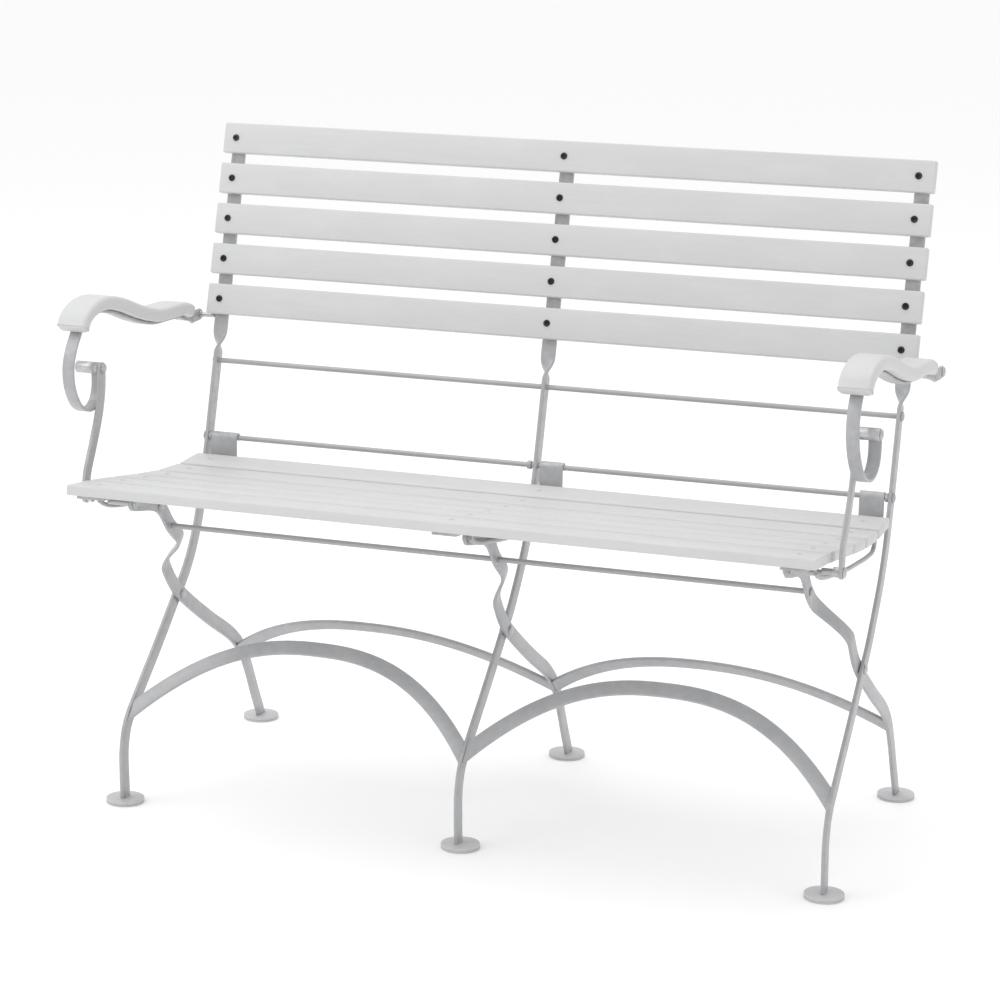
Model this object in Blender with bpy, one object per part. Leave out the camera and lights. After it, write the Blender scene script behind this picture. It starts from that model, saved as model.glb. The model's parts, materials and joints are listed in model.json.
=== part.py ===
"""Folding two-seat garden bench: slats on a flat-bar steel frame.

Two rigid frames cross like scissors. The back frame carries the back slats and ends in the front
feet. The rear frame ends in the rear feet, and its upper ends slide in slots under the seat. The
seat turns on the hinge rod between the uprights. Each arm is one side of a parallelogram.

Metres, +X to the right as seen from the front, +Y to the back, +Z up. The origin is on the
floor, in the middle of the bench. Side views are points of (y, z).
"""
import math

import bmesh
import bpy
from mathutils import Vector

# --- driving dimensions ------------------------------------------------------------------------
GAP = 0.0003                    # play between faces that touch
BAR_WIDTH = 0.020               # flat bar of both frames
BAR_THICK = 0.005
BAR_CHAMFER = 0.0007
ROD_RADIUS = 0.0035             # cross rods
PIN_RADIUS = 0.004              # scissor, slide and arm pins
HEAD_RADIUS = 0.0065            # bolt and rivet heads
HEAD_HEIGHT = 0.0032
FOOT_RADIUS = 0.0255
FOOT_THICK = 0.007

UPRIGHT_X = 0.4840              # centre plane of the outer uprights up to the scissor pins
UPRIGHT_TOP_X = 0.4865          # the same uprights at the seat and above
FLARE_LOW_Z = 0.285             # heights between which the outer uprights spread
FLARE_HIGH_Z = 0.400
REAR_LEG_X = 0.4780             # centre plane of the outer rear legs, inside the uprights
REAR_LEG_TOP_X = 0.4370         # the same legs after their inward crank
MIDDLE_UPRIGHT_X = -0.0030      # the middle upright and rear leg pass each other at x = 0
MIDDLE_LEG_X = 0.0030
MIDDLE_LEG_TOP_X = 0.0260
CRANK_LOW_Z = 0.300             # heights between which the rear legs crank
CRANK_HIGH_Z = 0.360

SCISSOR = (0.0065, 0.2525)      # side view of the crossing of the two frames
HINGE = (0.113, 0.455)          # rod that the seat turns on
STRETCHER = (-0.108, 0.377)     # rod between the rear legs
SLIDE_PIN = (-0.142, 0.411)     # second pin of the rear legs
FRONT_PIN = (-0.217, 0.4295)    # front pin of the rear legs
ARM_PIVOT = (0.159, 0.617)      # rear end of the arms
STRUT_FOOT = (-0.219, 0.433)    # strut pivot at the seat
ARM_BARREL = (STRUT_FOOT[0] + ARM_PIVOT[0] - HINGE[0],
              STRUT_FOOT[1] + ARM_PIVOT[1] - HINGE[1])

BACK_LEAN = math.atan(0.26)     # lean of the uprights above the seat
BACK_BASE = (0.117, 0.455)      # lowest point of the uprights' straight part
TIE_ROD_Z = 0.557               # upper rod between the uprights
UPRIGHT_TOP_Z = 0.872
TWIST_LOW_Z = 0.566             # the uprights turn a quarter between these heights
TWIST_HIGH_Z = 0.600

SLAT_THICK = 0.0135
SLAT_ROUND = 0.0022
BACK_SLAT_COUNT = 5
BACK_SLAT_LENGTH = 1.009
BACK_SLAT_HEIGHT = 0.0422
BACK_SLAT_PITCH = 0.0566
BACK_SLAT_LOW_Z = 0.6415        # middle of the lowest back slat
SEAT_SLAT_COUNT = 6
SEAT_SLAT_LENGTH = 0.983
SEAT_SLAT_WIDTH = 0.0583

SEAT_STRIPS = (("left", -0.4595, 0.039), ("middle", 0.0235, 0.033), ("right", 0.4625, 0.033))
STRIP_THICK = 0.003
EYE_RADIUS = 0.0055             # middle of the strip's thickness around the hinge rod
GUIDE_X = 0.4760                # guide rods, under the outer edge of the strips
MIDDLE_GUIDE_X = 0.0365
GUIDE_PLACES = {"left": -GUIDE_X, "middle": MIDDLE_GUIDE_X, "right": GUIDE_X}
GUIDE_RADIUS = 0.003

ARM_FRONT_X = 0.5130            # centre of the arm boards at ARM_FRONT_Y; they spread backwards
ARM_FRONT_Y = -0.240
ARM_SPLAY = 0.0245              # sideways run of the boards for each metre of depth
ARM_WIDTH = 0.042
ARM_THICK = 0.018
ARM_ROUND = 0.006
ARM_STRIP_WIDTH = 0.016
ARM_STRIP_THICK = 0.004
STRIP_TURN_LOW_Y = 0.112        # the strip turns a quarter between these depths
STRIP_TURN_HIGH_Y = 0.140
ARM_PIN_RADIUS = 0.003
STRUT_X = 0.5035
STRUT_WIDTH = 0.016
BARREL_RADIUS = 0.0078
SLEEVE_RADIUS = 0.0062          # spacer between a strut and the seat

# Side views, in order from the floor up or from the front back.
UPRIGHT_CURVE = ((-0.156, 0.0073), (-0.158, 0.040), (-0.158, 0.075), (-0.147, 0.108),
                 (-0.115, 0.140), (-0.056, 0.193), SCISSOR, (0.039, 0.285),
                 (0.0755, 0.340), (0.0985, 0.395), BACK_BASE)
REAR_LEG_CURVE = ((0.2705, 0.0073), (0.247, 0.050), (0.225, 0.092), (0.204, 0.124),
                  (0.170, 0.153), (0.094, 0.197), SCISSOR, (-0.018, 0.273),
                  (-0.043, 0.305), (-0.068, 0.345), STRETCHER, SLIDE_PIN, FRONT_PIN)
SEAT_TOP_CURVE = ((-0.2965, 0.4655), (-0.229, 0.4590), (-0.163, 0.4505), (-0.083, 0.4395),
                  (-0.013, 0.4325), (0.047, 0.4315), (0.0890, 0.4345))
GUIDE_CURVE = ((-0.236, 0.4340), (-0.226, 0.4280), (-0.205, 0.4210), (-0.150, 0.4115),
               (-0.085, 0.4025), (-0.020, 0.3965), (0.040, 0.3925), (0.065, 0.3935),
               (0.0735, 0.3990), (0.0765, 0.4140))
ARM_TOP_CURVE = ((-0.2400, 0.6590), (-0.2290, 0.6740), (-0.2060, 0.6850), (-0.1700, 0.6895),
                 (-0.1200, 0.6815), (-0.0600, 0.6630), (-0.0050, 0.6500), (0.0450, 0.6480),
                 (0.0850, 0.6455), (0.1060, 0.6390))
STRIP_REAR_CURVE = (ARM_PIVOT, (0.1430, 0.6165), (0.1240, 0.6155))
SCROLL_CURVE = ((-0.2350, 0.6310), (-0.2440, 0.6070), (-0.2400, 0.5790), (-0.2210, 0.5530),
                (-0.1950, 0.5430), (-0.1735, 0.5490), (-0.1638, 0.5650), (-0.1629, 0.5950))
STRUT_CURVE = (STRUT_FOOT, (-0.2175, 0.4600), (-0.1995, 0.4980), (-0.1825, 0.5350),
               (-0.1745, 0.5650), ARM_BARREL)

FRONT_ARCH = {"base": (-0.141, 0.1236), "tilt": math.radians(49), "rise": 0.121, "power": 2.4}
REAR_ARCH = {"base": (0.194, 0.1257), "tilt": math.radians(138), "rise": 0.119, "power": 2.26}

# The two arm irons are the same part, not mirrored: both tubes point to -X from the scroll.
ARM_SIDES = {"left": {"sign": -1, "rear_x": -0.5220, "scroll_x": -0.5150,
                      "tube": (-0.5385, -0.5065), "bolt": (-0.5385, -0.5010)},
             "right": {"sign": 1, "rear_x": 0.5348, "scroll_x": 0.5245,
                       "tube": (0.5065, 0.5330), "bolt": (0.5010, 0.5330)}}

SIDES = (("left", -1), ("right", 1))
LACQUER = ("lacquered_wood", (0.66, 0.67, 0.67, 1.0), 0.45, 0.0)
STEEL = ("painted_steel", (0.47, 0.48, 0.49, 1.0), 0.38, 0.25)
X_AXIS = Vector((1, 0, 0))


# --- scene and materials -----------------------------------------------------------------------
def clear_scene():
    for old in list(bpy.data.objects):
        bpy.data.objects.remove(old, do_unlink=True)


def make_material(spec):
    name, colour, roughness, metallic = spec
    material = bpy.data.materials.get(name) or bpy.data.materials.new(name)
    material.use_nodes = True
    shader = material.node_tree.nodes["Principled BSDF"]
    shader.inputs["Base Color"].default_value = colour
    shader.inputs["Roughness"].default_value = roughness
    shader.inputs["Metallic"].default_value = metallic
    return material


def make_pivot(name, place):
    """Empty on a joint's axis; what turns on it is parented to it."""
    pivot = bpy.data.objects.new(name, None)
    pivot.location = (0, place[0], place[1])
    bpy.context.collection.objects.link(pivot)
    return pivot


def make_object(name, bm, spec, pivot=None, sharp_angle=35):
    bmesh.ops.recalc_face_normals(bm, faces=bm.faces)
    if pivot is not None:
        bmesh.ops.translate(bm, verts=bm.verts, vec=-pivot.location)
    mesh = bpy.data.meshes.new(name)
    bm.to_mesh(mesh)
    bm.free()
    mesh.shade_smooth()
    mesh.set_sharp_from_angle(angle=math.radians(sharp_angle))
    mesh.materials.append(make_material(spec))
    obj = bpy.data.objects.new(name, mesh)
    bpy.context.collection.objects.link(obj)
    obj.parent = pivot
    return obj


# --- curves ------------------------------------------------------------------------------------
def smooth_curve(points, steps=2):
    """Centripetal Catmull-Rom curve through points."""
    points = [Vector(p) for p in points]
    points = [2 * points[0] - points[1]] + points + [2 * points[-1] - points[-2]]
    curve = []
    for p0, p1, p2, p3 in zip(points, points[1:], points[2:], points[3:]):
        t0 = 0.0
        t1 = t0 + math.sqrt((p1 - p0).length)
        t2 = t1 + math.sqrt((p2 - p1).length)
        t3 = t2 + math.sqrt((p3 - p2).length)
        for i in range(steps):
            t = t1 + (t2 - t1) * i / steps
            a1 = p0.lerp(p1, (t - t0) / (t1 - t0))
            a2 = p1.lerp(p2, (t - t1) / (t2 - t1))
            a3 = p2.lerp(p3, (t - t2) / (t3 - t2))
            b1 = a1.lerp(a2, (t - t0) / (t2 - t0))
            b2 = a2.lerp(a3, (t - t1) / (t3 - t1))
            curve.append(b1.lerp(b2, (t - t1) / (t2 - t1)))
    curve.append(points[-2])
    return curve


def tangents(points):
    """Unit direction of a curve at each of its points."""
    result = []
    for i in range(len(points)):
        before = points[max(i - 1, 0)]
        after = points[min(i + 1, len(points) - 1)]
        result.append((after - before).normalized())
    return result


def shifted(curve, depth):
    """The same curve moved by depth to its right-hand side."""
    return [p - Vector((-a.y, a.x)) * depth for p, a in zip(curve, tangents(curve))]


def ease(value):
    """Smooth step from 0 to 1."""
    value = min(max(value, 0.0), 1.0)
    return value * value * (3 - 2 * value)


def arc_points(centre, radius, start, end, steps):
    """Points of an arc in the side view, angles in degrees from +Y towards +Z."""
    result = []
    for i in range(steps + 1):
        angle = math.radians(start + (end - start) * i / steps)
        result.append(Vector((centre[0] + radius * math.cos(angle),
                              centre[1] + radius * math.sin(angle))))
    return result


# --- solids ------------------------------------------------------------------------------------
def skin_rings(bm, rings):
    """Joins rings of the same number of points into a closed body."""
    loops = [[bm.verts.new(p) for p in ring] for ring in rings]
    count = len(loops[0])
    for first, second in zip(loops, loops[1:]):
        for i in range(count):
            j = (i + 1) % count
            bm.faces.new((first[i], first[j], second[j], second[i]))
    bm.faces.new(loops[0])
    bm.faces.new(loops[-1])
    return bm


def bar_ring(centre, across, through, width, thick, chamfer=BAR_CHAMFER):
    """Section of a flat bar, with broken corners unless the chamfer is 0."""
    w = width / 2
    t = thick / 2
    c = chamfer
    if c == 0:
        corners = ((w, t), (w, -t), (-w, -t), (-w, t))
    else:
        corners = ((w - c, t), (w, t - c), (w, c - t), (w - c, -t),
                   (c - w, -t), (-w, c - t), (-w, t - c), (c - w, t))
    return [centre + across * a + through * b for a, b in corners]


def in_space(x, point, along):
    """Centre, direction and upward normal of a side-view point in the plane at x."""
    return (Vector((x, point.x, point.y)), Vector((0, along.x, along.y)),
            Vector((0, -along.y, along.x)))


def round_end(point, along, width):
    """Stations of a half-round end beyond a point."""
    stations = []
    for degrees in (28, 50, 68, 80):
        angle = math.radians(degrees)
        reach = along * width / 2 * math.sin(angle)
        stations.append((point + reach, along, width * math.cos(angle)))
    return stations


def edge_bar(x_of, curve, width, thick, round_start=False):
    """Rings of a flat bar bent in the side view: thickness along X, far end half round."""
    along = tangents(curve)
    stations = [(p, a, width) for p, a in zip(curve, along)]
    stations += round_end(curve[-1], along[-1], width)
    if round_start:
        start = [(p, -a, w) for p, a, w in round_end(curve[0], -along[0], width)]
        stations = start[::-1] + stations
    rings = []
    for point, direction, wide in stations:
        centre, _, up = in_space(x_of(point), point, direction)
        rings.append(bar_ring(centre, up, X_AXIS, wide, thick))
    return rings


def flat_strip(x, curve, width, thick):
    """Rings of a thin strip bent in the side view, its width along X."""
    rings = []
    for point, along in zip(curve, tangents(curve)):
        centre, _, up = in_space(x, point, along)
        rings.append(bar_ring(centre, X_AXIS, up, width, thick, 0))
    return rings


def level_ring(ring, along, z):
    """Slides a ring's points along the bar onto the plane at height z."""
    direction = Vector((0, along.x, along.y))
    return [p + direction * ((z - p.z) / direction.z) for p in ring]


def lathe_x(bm, profile, centre, segments=12):
    """Turned solid about the X direction; profile holds (x, radius) from end to end."""
    rings = []
    for x, radius in profile:
        ring = []
        for i in range(segments):
            angle = 2 * math.pi * i / segments
            ring.append(Vector((x, centre[0] + radius * math.cos(angle),
                                centre[1] + radius * math.sin(angle))))
        rings.append(ring)
    return skin_rings(bm, rings)


def head_profile(x, radius=HEAD_RADIUS, height=HEAD_HEIGHT, side=1):
    """Low domed head that starts at x and rises towards side."""
    return [(x, radius), (x + side * height * 0.60, radius * 0.90),
            (x + side * height, radius * 0.42)]


def pin_profile(x0, x1, radius, head_radius=HEAD_RADIUS, head_height=HEAD_HEIGHT):
    """Pin from x0 to x1 with a head outside each end."""
    left = head_profile(x0, head_radius, head_height, -1)[::-1]
    return left + [(x0, radius), (x1, radius)] + head_profile(x1, head_radius, head_height, 1)


def make_turned(name, profile, centre, pivot=None, sign=1):
    profile = [(sign * x, radius) for x, radius in profile]
    return make_object(name, lathe_x(bmesh.new(), profile, centre), STEEL, pivot)


def drill(obj, holes):
    """Round holes along X through a bar; holes lists (x, side-view place, radius)."""
    reach = 0.010
    mesh = bpy.data.meshes.new(obj.name + "_holes")
    bm = bmesh.new()
    for x, centre, radius in holes:
        lathe_x(bm, [(x - reach, radius), (x + reach, radius)], centre)
    bmesh.ops.recalc_face_normals(bm, faces=bm.faces)
    if obj.parent is not None:
        bmesh.ops.translate(bm, verts=bm.verts, vec=-obj.parent.location)
    bm.to_mesh(mesh)
    bm.free()
    cutter = bpy.data.objects.new(obj.name + "_holes", mesh)
    cutter.hide_render = True
    cutter.display_type = "WIRE"
    cutter.parent = obj.parent
    bpy.context.collection.objects.link(cutter)
    cut = obj.modifiers.new("holes", "BOOLEAN")
    cut.operation = "DIFFERENCE"
    cut.object = cutter
    cut.solver = "EXACT"


def make_slat(name, length, width, centre, lean, pivot=None):
    """Plank along X; lean turns its width from +Y towards +Z."""
    bm = bmesh.new()
    bmesh.ops.create_cube(bm, size=1.0)
    bmesh.ops.scale(bm, verts=bm.verts, vec=(length, width, SLAT_THICK))
    bmesh.ops.bevel(bm, geom=bm.edges[:], offset=SLAT_ROUND, segments=2, profile=0.5,
                    affect="EDGES")
    cos = math.cos(lean)
    sin = math.sin(lean)
    for vert in bm.verts:
        x, y, z = vert.co
        vert.co = Vector((x, centre[0] + y * cos - z * sin, centre[1] + y * sin + z * cos))
    make_object(name, bm, LACQUER, pivot, sharp_angle=50)


def make_foot(name, x, y, pivot=None):
    """Round pad under a leg."""
    edge = 0.0012
    rings = []
    for z, radius in ((0.0, FOOT_RADIUS - 2 * edge), (edge, FOOT_RADIUS),
                      (FOOT_THICK - edge, FOOT_RADIUS), (FOOT_THICK, FOOT_RADIUS - edge)):
        ring = []
        for i in range(24):
            angle = 2 * math.pi * i / 24
            ring.append(Vector((x + radius * math.cos(angle), y + radius * math.sin(angle), z)))
        rings.append(ring)
    make_object(name, skin_rings(bmesh.new(), rings), STEEL, pivot)


# --- arches between the legs ---------------------------------------------------------------------
def arch_edge(span, arch, offset):
    """One edge of an arch at an offset from its middle line, cut at plus and minus span."""
    rise = arch["rise"]
    power = arch["power"]

    def point(u):
        height = rise * (1 - abs(u) ** power)
        slope = -math.copysign(power * rise * abs(u) ** (power - 1), u) / span
        length = math.hypot(1, slope)
        return Vector((span * u - offset * slope / length, height + offset / length))

    low = 0.5
    high = 1.4
    for _ in range(30):
        middle = (low + high) / 2
        if point(middle).x < span:
            low = middle
        else:
            high = middle
    steps = 18
    return [point(low * math.sin(math.pi / 2 * (2 * i / steps - 1))) for i in range(steps + 1)]


def make_arch(name, x0, x1, arch, pivot=None):
    """Flat bar on edge, arched between two legs and cut to their side faces."""
    span = (x1 - x0) / 2 - GAP
    tilt = arch["tilt"]
    up = Vector((0, math.cos(tilt), math.sin(tilt)))
    normal = Vector((0, -math.sin(tilt), math.cos(tilt)))
    base = Vector(((x0 + x1) / 2, arch["base"][0], arch["base"][1]))
    rings = []
    for a, b in zip(arch_edge(span, arch, -BAR_WIDTH / 2),
                    arch_edge(span, arch, BAR_WIDTH / 2)):
        low = base + X_AXIS * a.x + up * a.y
        high = base + X_AXIS * b.x + up * b.y
        across = (high - low).normalized()
        rings.append(bar_ring((low + high) / 2, across, normal, (high - low).length, BAR_THICK))
    make_object(name, skin_rings(bmesh.new(), rings), STEEL, pivot)


# --- back frame --------------------------------------------------------------------------------
def upright_y(z):
    """Middle of the straight part of the uprights."""
    return BACK_BASE[0] + math.tan(BACK_LEAN) * (z - BACK_BASE[1])


def upright_x(sign, z):
    """The uprights bend a little sideways between the scissor pins and the seat."""
    share = ease((z - FLARE_LOW_Z) / (FLARE_HIGH_Z - FLARE_LOW_Z))
    low = MIDDLE_UPRIGHT_X if sign == 0 else sign * UPRIGHT_X
    return low + (sign * UPRIGHT_TOP_X - low) * share


def make_upright(name, sign):
    """One bar from the front foot to the top, turned a quarter above the seat."""
    curve = smooth_curve(UPRIGHT_CURVE)
    turns = 6
    twist = TWIST_HIGH_Z - TWIST_LOW_Z
    heights = [TWIST_LOW_Z + twist * i / turns for i in range(turns + 1)] + [UPRIGHT_TOP_Z]
    curve += [Vector((upright_y(z), z)) for z in heights]
    along = tangents(curve)
    rings = []
    for point, direction in zip(curve, along):
        turn = math.pi / 2 * ease((point.y - TWIST_LOW_Z) / twist)
        centre, _, edge = in_space(upright_x(sign, point.y), point, direction)
        across = edge * math.cos(turn) + X_AXIS * math.sin(turn)
        through = X_AXIS * math.cos(turn) - edge * math.sin(turn)
        rings.append(bar_ring(centre, across, through, BAR_WIDTH, BAR_THICK))
    rings[0] = level_ring(rings[0], along[0], FOOT_THICK + GAP)
    upright = make_object(name, skin_rings(bmesh.new(), rings), STEEL)
    top = sign * UPRIGHT_TOP_X
    drill(upright, ((top, HINGE, ROD_RADIUS + GAP), (top, tie_rod_place(), ROD_RADIUS + GAP),
                    (upright_x(sign, SCISSOR[1]), SCISSOR, PIN_RADIUS + GAP)))


def tie_rod_place():
    return (upright_y(TIE_ROD_Z), TIE_ROD_Z)


def make_back_slats():
    """Slats stand on the front faces of the uprights."""
    off = ((BAR_THICK + SLAT_THICK) / 2 + GAP) / math.cos(BACK_LEAN)
    for i in range(BACK_SLAT_COUNT):
        step = (BACK_SLAT_COUNT - 1 - i) * BACK_SLAT_PITCH
        z = BACK_SLAT_LOW_Z + step * math.cos(BACK_LEAN)
        make_slat(f"back_slat_{i + 1}", BACK_SLAT_LENGTH, BACK_SLAT_HEIGHT,
                  (upright_y(z) - off, z), math.pi / 2 - BACK_LEAN)


def make_arm_pin(name, sign, rear_x):
    """Rod that holds the rear end of an arm out from the upright's edge, with a collar."""
    root = UPRIGHT_TOP_X + BAR_WIDTH / 2 + GAP
    inner = abs(rear_x) - ARM_STRIP_THICK / 2 - GAP
    outer = abs(rear_x) + ARM_STRIP_THICK / 2 + GAP
    profile = [(root, ARM_PIN_RADIUS), (inner - 0.002, ARM_PIN_RADIUS), (inner - 0.002, 0.005),
               (inner, 0.005), (inner, ARM_PIN_RADIUS), (outer, ARM_PIN_RADIUS)]
    make_turned(name, profile + head_profile(outer), ARM_PIVOT, sign=sign)


def make_back_frame():
    for side, sign in (("left", -1), ("middle", 0), ("right", 1)):
        make_upright(f"upright_{side}", sign)
        make_foot(f"front_foot_{side}", sign * UPRIGHT_X, UPRIGHT_CURVE[0][0])
    face = UPRIGHT_X - BAR_THICK / 2
    make_arch("front_arch_left", -face, MIDDLE_UPRIGHT_X - BAR_THICK / 2, FRONT_ARCH)
    make_arch("front_arch_right", MIDDLE_UPRIGHT_X + BAR_THICK / 2, face, FRONT_ARCH)
    make_back_slats()
    end = UPRIGHT_TOP_X + BAR_THICK / 2 + GAP
    make_turned("tie_rod", pin_profile(-end, end, ROD_RADIUS), tie_rod_place())
    make_turned("hinge_rod", pin_profile(-end, end, ROD_RADIUS), HINGE)
    for side, arm in ARM_SIDES.items():
        make_arm_pin(f"arm_pivot_pin_{side}", arm["sign"], arm["rear_x"])


# --- rear frame --------------------------------------------------------------------------------
def rear_leg_x(sign, z):
    """The rear legs crank sideways between the scissor pin and the stretcher."""
    share = ease((z - CRANK_LOW_Z) / (CRANK_HIGH_Z - CRANK_LOW_Z))
    if sign == 0:
        return MIDDLE_LEG_X + (MIDDLE_LEG_TOP_X - MIDDLE_LEG_X) * share
    return sign * (REAR_LEG_X + (REAR_LEG_TOP_X - REAR_LEG_X) * share)


def make_rear_leg(name, sign, pivot):
    curve = smooth_curve(REAR_LEG_CURVE)
    rings = edge_bar(lambda p: rear_leg_x(sign, p.y), curve, BAR_WIDTH, BAR_THICK)
    rings[0] = level_ring(rings[0], tangents(curve)[0], FOOT_THICK + GAP)
    leg = make_object(name, skin_rings(bmesh.new(), rings), STEEL, pivot)
    low = rear_leg_x(sign, SCISSOR[1])
    top = rear_leg_x(sign, FRONT_PIN[1])
    drill(leg, ((low, SCISSOR, PIN_RADIUS + GAP), (top, STRETCHER, ROD_RADIUS + GAP),
                (top, SLIDE_PIN, PIN_RADIUS + GAP), (top, FRONT_PIN, PIN_RADIUS + GAP)))


def make_slide_pins(side, leg_x, guide_x, pivot):
    """Two pins at the top of a rear leg; they stop short of the guide rod beside them."""
    out = -1 if side == "left" else 1
    face = BAR_THICK / 2 + GAP
    far = guide_x - GUIDE_RADIUS - abs(leg_x) - 0.001
    for kind, place in (("slide", SLIDE_PIN), ("front", FRONT_PIN)):
        profile = [(-x, radius) for x, radius in head_profile(face)[::-1]]
        profile += [(-face, PIN_RADIUS), (far, PIN_RADIUS)]
        profile = [(leg_x + out * x, radius) for x, radius in profile]
        make_turned(f"{kind}_pin_{side}", profile, place, pivot)


def make_rear_frame(pivot):
    foot_y = REAR_LEG_CURVE[0][0] + 0.0015
    for side, sign, guide_x in (("left", -1, GUIDE_X), ("middle", 0, MIDDLE_GUIDE_X),
                                ("right", 1, GUIDE_X)):
        make_rear_leg(f"rear_leg_{side}", sign, pivot)
        make_foot(f"rear_foot_{side}", sign * REAR_LEG_X, foot_y, pivot)
        make_slide_pins(side, rear_leg_x(sign, FRONT_PIN[1]), guide_x, pivot)
    face = REAR_LEG_X - BAR_THICK / 2
    make_arch("rear_arch_left", -face, MIDDLE_LEG_X - BAR_THICK / 2, REAR_ARCH, pivot)
    make_arch("rear_arch_right", MIDDLE_LEG_X + BAR_THICK / 2, face, REAR_ARCH, pivot)
    end = REAR_LEG_TOP_X + BAR_THICK / 2 + GAP
    make_turned("stretcher_rod", pin_profile(-end, end, ROD_RADIUS, 0.0055, 0.0025), STRETCHER,
                pivot)


def make_scissor_pins():
    """Bolts through both frames where they cross."""
    half = BAR_THICK / 2 + GAP
    for side, x0, x1 in (("left", -UPRIGHT_X, -REAR_LEG_X), ("middle", MIDDLE_UPRIGHT_X, MIDDLE_LEG_X),
                         ("right", REAR_LEG_X, UPRIGHT_X)):
        make_turned(f"scissor_pin_{side}", pin_profile(x0 - half, x1 + half, PIN_RADIUS),
                    SCISSOR)


# --- seat --------------------------------------------------------------------------------------
def seat_slat_places():
    """Middle of each slat's top and its slope, spaced evenly along the seat's curve."""
    curve = smooth_curve(SEAT_TOP_CURVE, 8)
    lengths = [0.0]
    for a, b in zip(curve, curve[1:]):
        lengths.append(lengths[-1] + (b - a).length)
    pitch = (lengths[-1] - SEAT_SLAT_WIDTH) / (SEAT_SLAT_COUNT - 1)

    def at(distance):
        for i, (a, b) in enumerate(zip(curve, curve[1:])):
            if distance <= lengths[i + 1]:
                return a.lerp(b, (distance - lengths[i]) / (lengths[i + 1] - lengths[i]))
        return curve[-1]

    places = []
    for i in range(SEAT_SLAT_COUNT):
        start = at(i * pitch)
        end = at(i * pitch + SEAT_SLAT_WIDTH)
        along = (end - start).normalized()
        places.append(((start + end) / 2, math.atan2(along.y, along.x)))
    return places


def make_seat_slats(pivot):
    for i, (top, slope) in enumerate(seat_slat_places()):
        centre = (top.x + SLAT_THICK / 2 * math.sin(slope),
                  top.y - SLAT_THICK / 2 * math.cos(slope))
        make_slat(f"seat_slat_{i + 1}", SEAT_SLAT_LENGTH, SEAT_SLAT_WIDTH, centre, slope, pivot)


def strip_curve():
    """Middle line of a seat strip: under the slats, up to the hinge rod and round it."""
    depth = SLAT_THICK + STRIP_THICK / 2 + GAP + 0.0005
    reach = SEAT_SLAT_WIDTH / 2 - 0.006
    under = []
    for top, slope in seat_slat_places():
        along = Vector((math.cos(slope), math.sin(slope)))
        below = top - Vector((-along.y, along.x)) * depth
        under += [below - along * reach, below + along * reach]
    bend = 0.007
    corner_y = HINGE[0] - EYE_RADIUS - bend
    corner = arc_points((corner_y, under[-1].y + bend + 0.0005), bend, -80, 0, 3)
    eye = arc_points(HINGE, EYE_RADIUS, 180, -50, 8)
    return smooth_curve(under, 2) + corner + eye


def make_guide(name, x, pivot):
    """Round rod under a strip's edge; the two bound the slot for the slide pins."""
    curve = smooth_curve(GUIDE_CURVE)
    rings = []
    for point, along in zip(curve, tangents(curve)):
        centre, _, up = in_space(x, point, along)
        ring = []
        for i in range(8):
            angle = 2 * math.pi * i / 8
            ring.append(centre + (X_AXIS * math.cos(angle) + up * math.sin(angle)) * GUIDE_RADIUS)
        rings.append(ring)
    make_object(name, skin_rings(bmesh.new(), rings), STEEL, pivot, sharp_angle=60)


def make_seat(pivot):
    make_seat_slats(pivot)
    for side, x, width in SEAT_STRIPS:
        rings = flat_strip(x, strip_curve(), width, STRIP_THICK)
        make_object(f"seat_strip_{side}", skin_rings(bmesh.new(), rings), STEEL, pivot)
        make_guide(f"guide_rod_{side}", GUIDE_PLACES[side], pivot)
    for side, sign in SIDES:
        make_strut_bolt(f"strut_bolt_{side}", sign, pivot)


def make_strut_bolt(name, sign, pivot):
    """Bolt that the foot of a strut turns on, with the spacer that holds it off the seat."""
    inner = STRUT_X - BAR_THICK / 2 - GAP
    outer = STRUT_X + BAR_THICK / 2 + GAP
    spacer = SEAT_SLAT_LENGTH / 2 + 0.002
    profile = [(GUIDE_X + GUIDE_RADIUS + GAP, PIN_RADIUS), (spacer, PIN_RADIUS),
               (spacer, SLEEVE_RADIUS), (inner, SLEEVE_RADIUS), (inner, PIN_RADIUS),
               (outer, PIN_RADIUS)]
    make_turned(name, profile + head_profile(outer), STRUT_FOOT, pivot, sign)


# --- arms and struts ---------------------------------------------------------------------------
def board_x(sign, y):
    """Centre plane of an arm board at a depth."""
    return sign * (ARM_FRONT_X + ARM_SPLAY * (y - ARM_FRONT_Y))


def board_ring(sign, point, along, share):
    """Section of an arm board: a rectangle with round corners, thinner by share at the ends."""
    centre, _, up = in_space(board_x(sign, point.x), point, along)
    w = ARM_WIDTH / 2 - ARM_ROUND
    t = ARM_THICK / 2 - ARM_ROUND
    ring = []
    for corner_w, corner_t, start in ((w, t, 0), (-w, t, 90), (-w, -t, 180), (w, -t, 270)):
        for degrees in (0, 45, 90):
            angle = math.radians(start + degrees)
            a = (corner_w + ARM_ROUND * math.cos(angle)) * (0.55 + 0.45 * share)
            b = (corner_t + ARM_ROUND * math.sin(angle)) * share
            ring.append(centre + X_AXIS * a + up * b)
    return ring


def make_board(name, sign, pivot):
    """Wavy arm board with rounded edges and a drooping front end."""
    middle = shifted(smooth_curve(ARM_TOP_CURVE), ARM_THICK / 2)
    along = tangents(middle)
    caps = ((0.0, 0.55), (0.0018, 0.84), (0.0042, 0.97))
    rings = [board_ring(sign, middle[0] + along[0] * inset, along[0], share)
             for inset, share in caps]
    rings += [board_ring(sign, p, a, 1.0) for p, a in zip(middle[1:-1], along[1:-1])]
    rings += [board_ring(sign, middle[-1] - along[-1] * inset, along[-1], share)
              for inset, share in caps[::-1]]
    make_object(name, skin_rings(bmesh.new(), rings), LACQUER, pivot, sharp_angle=60)


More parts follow.
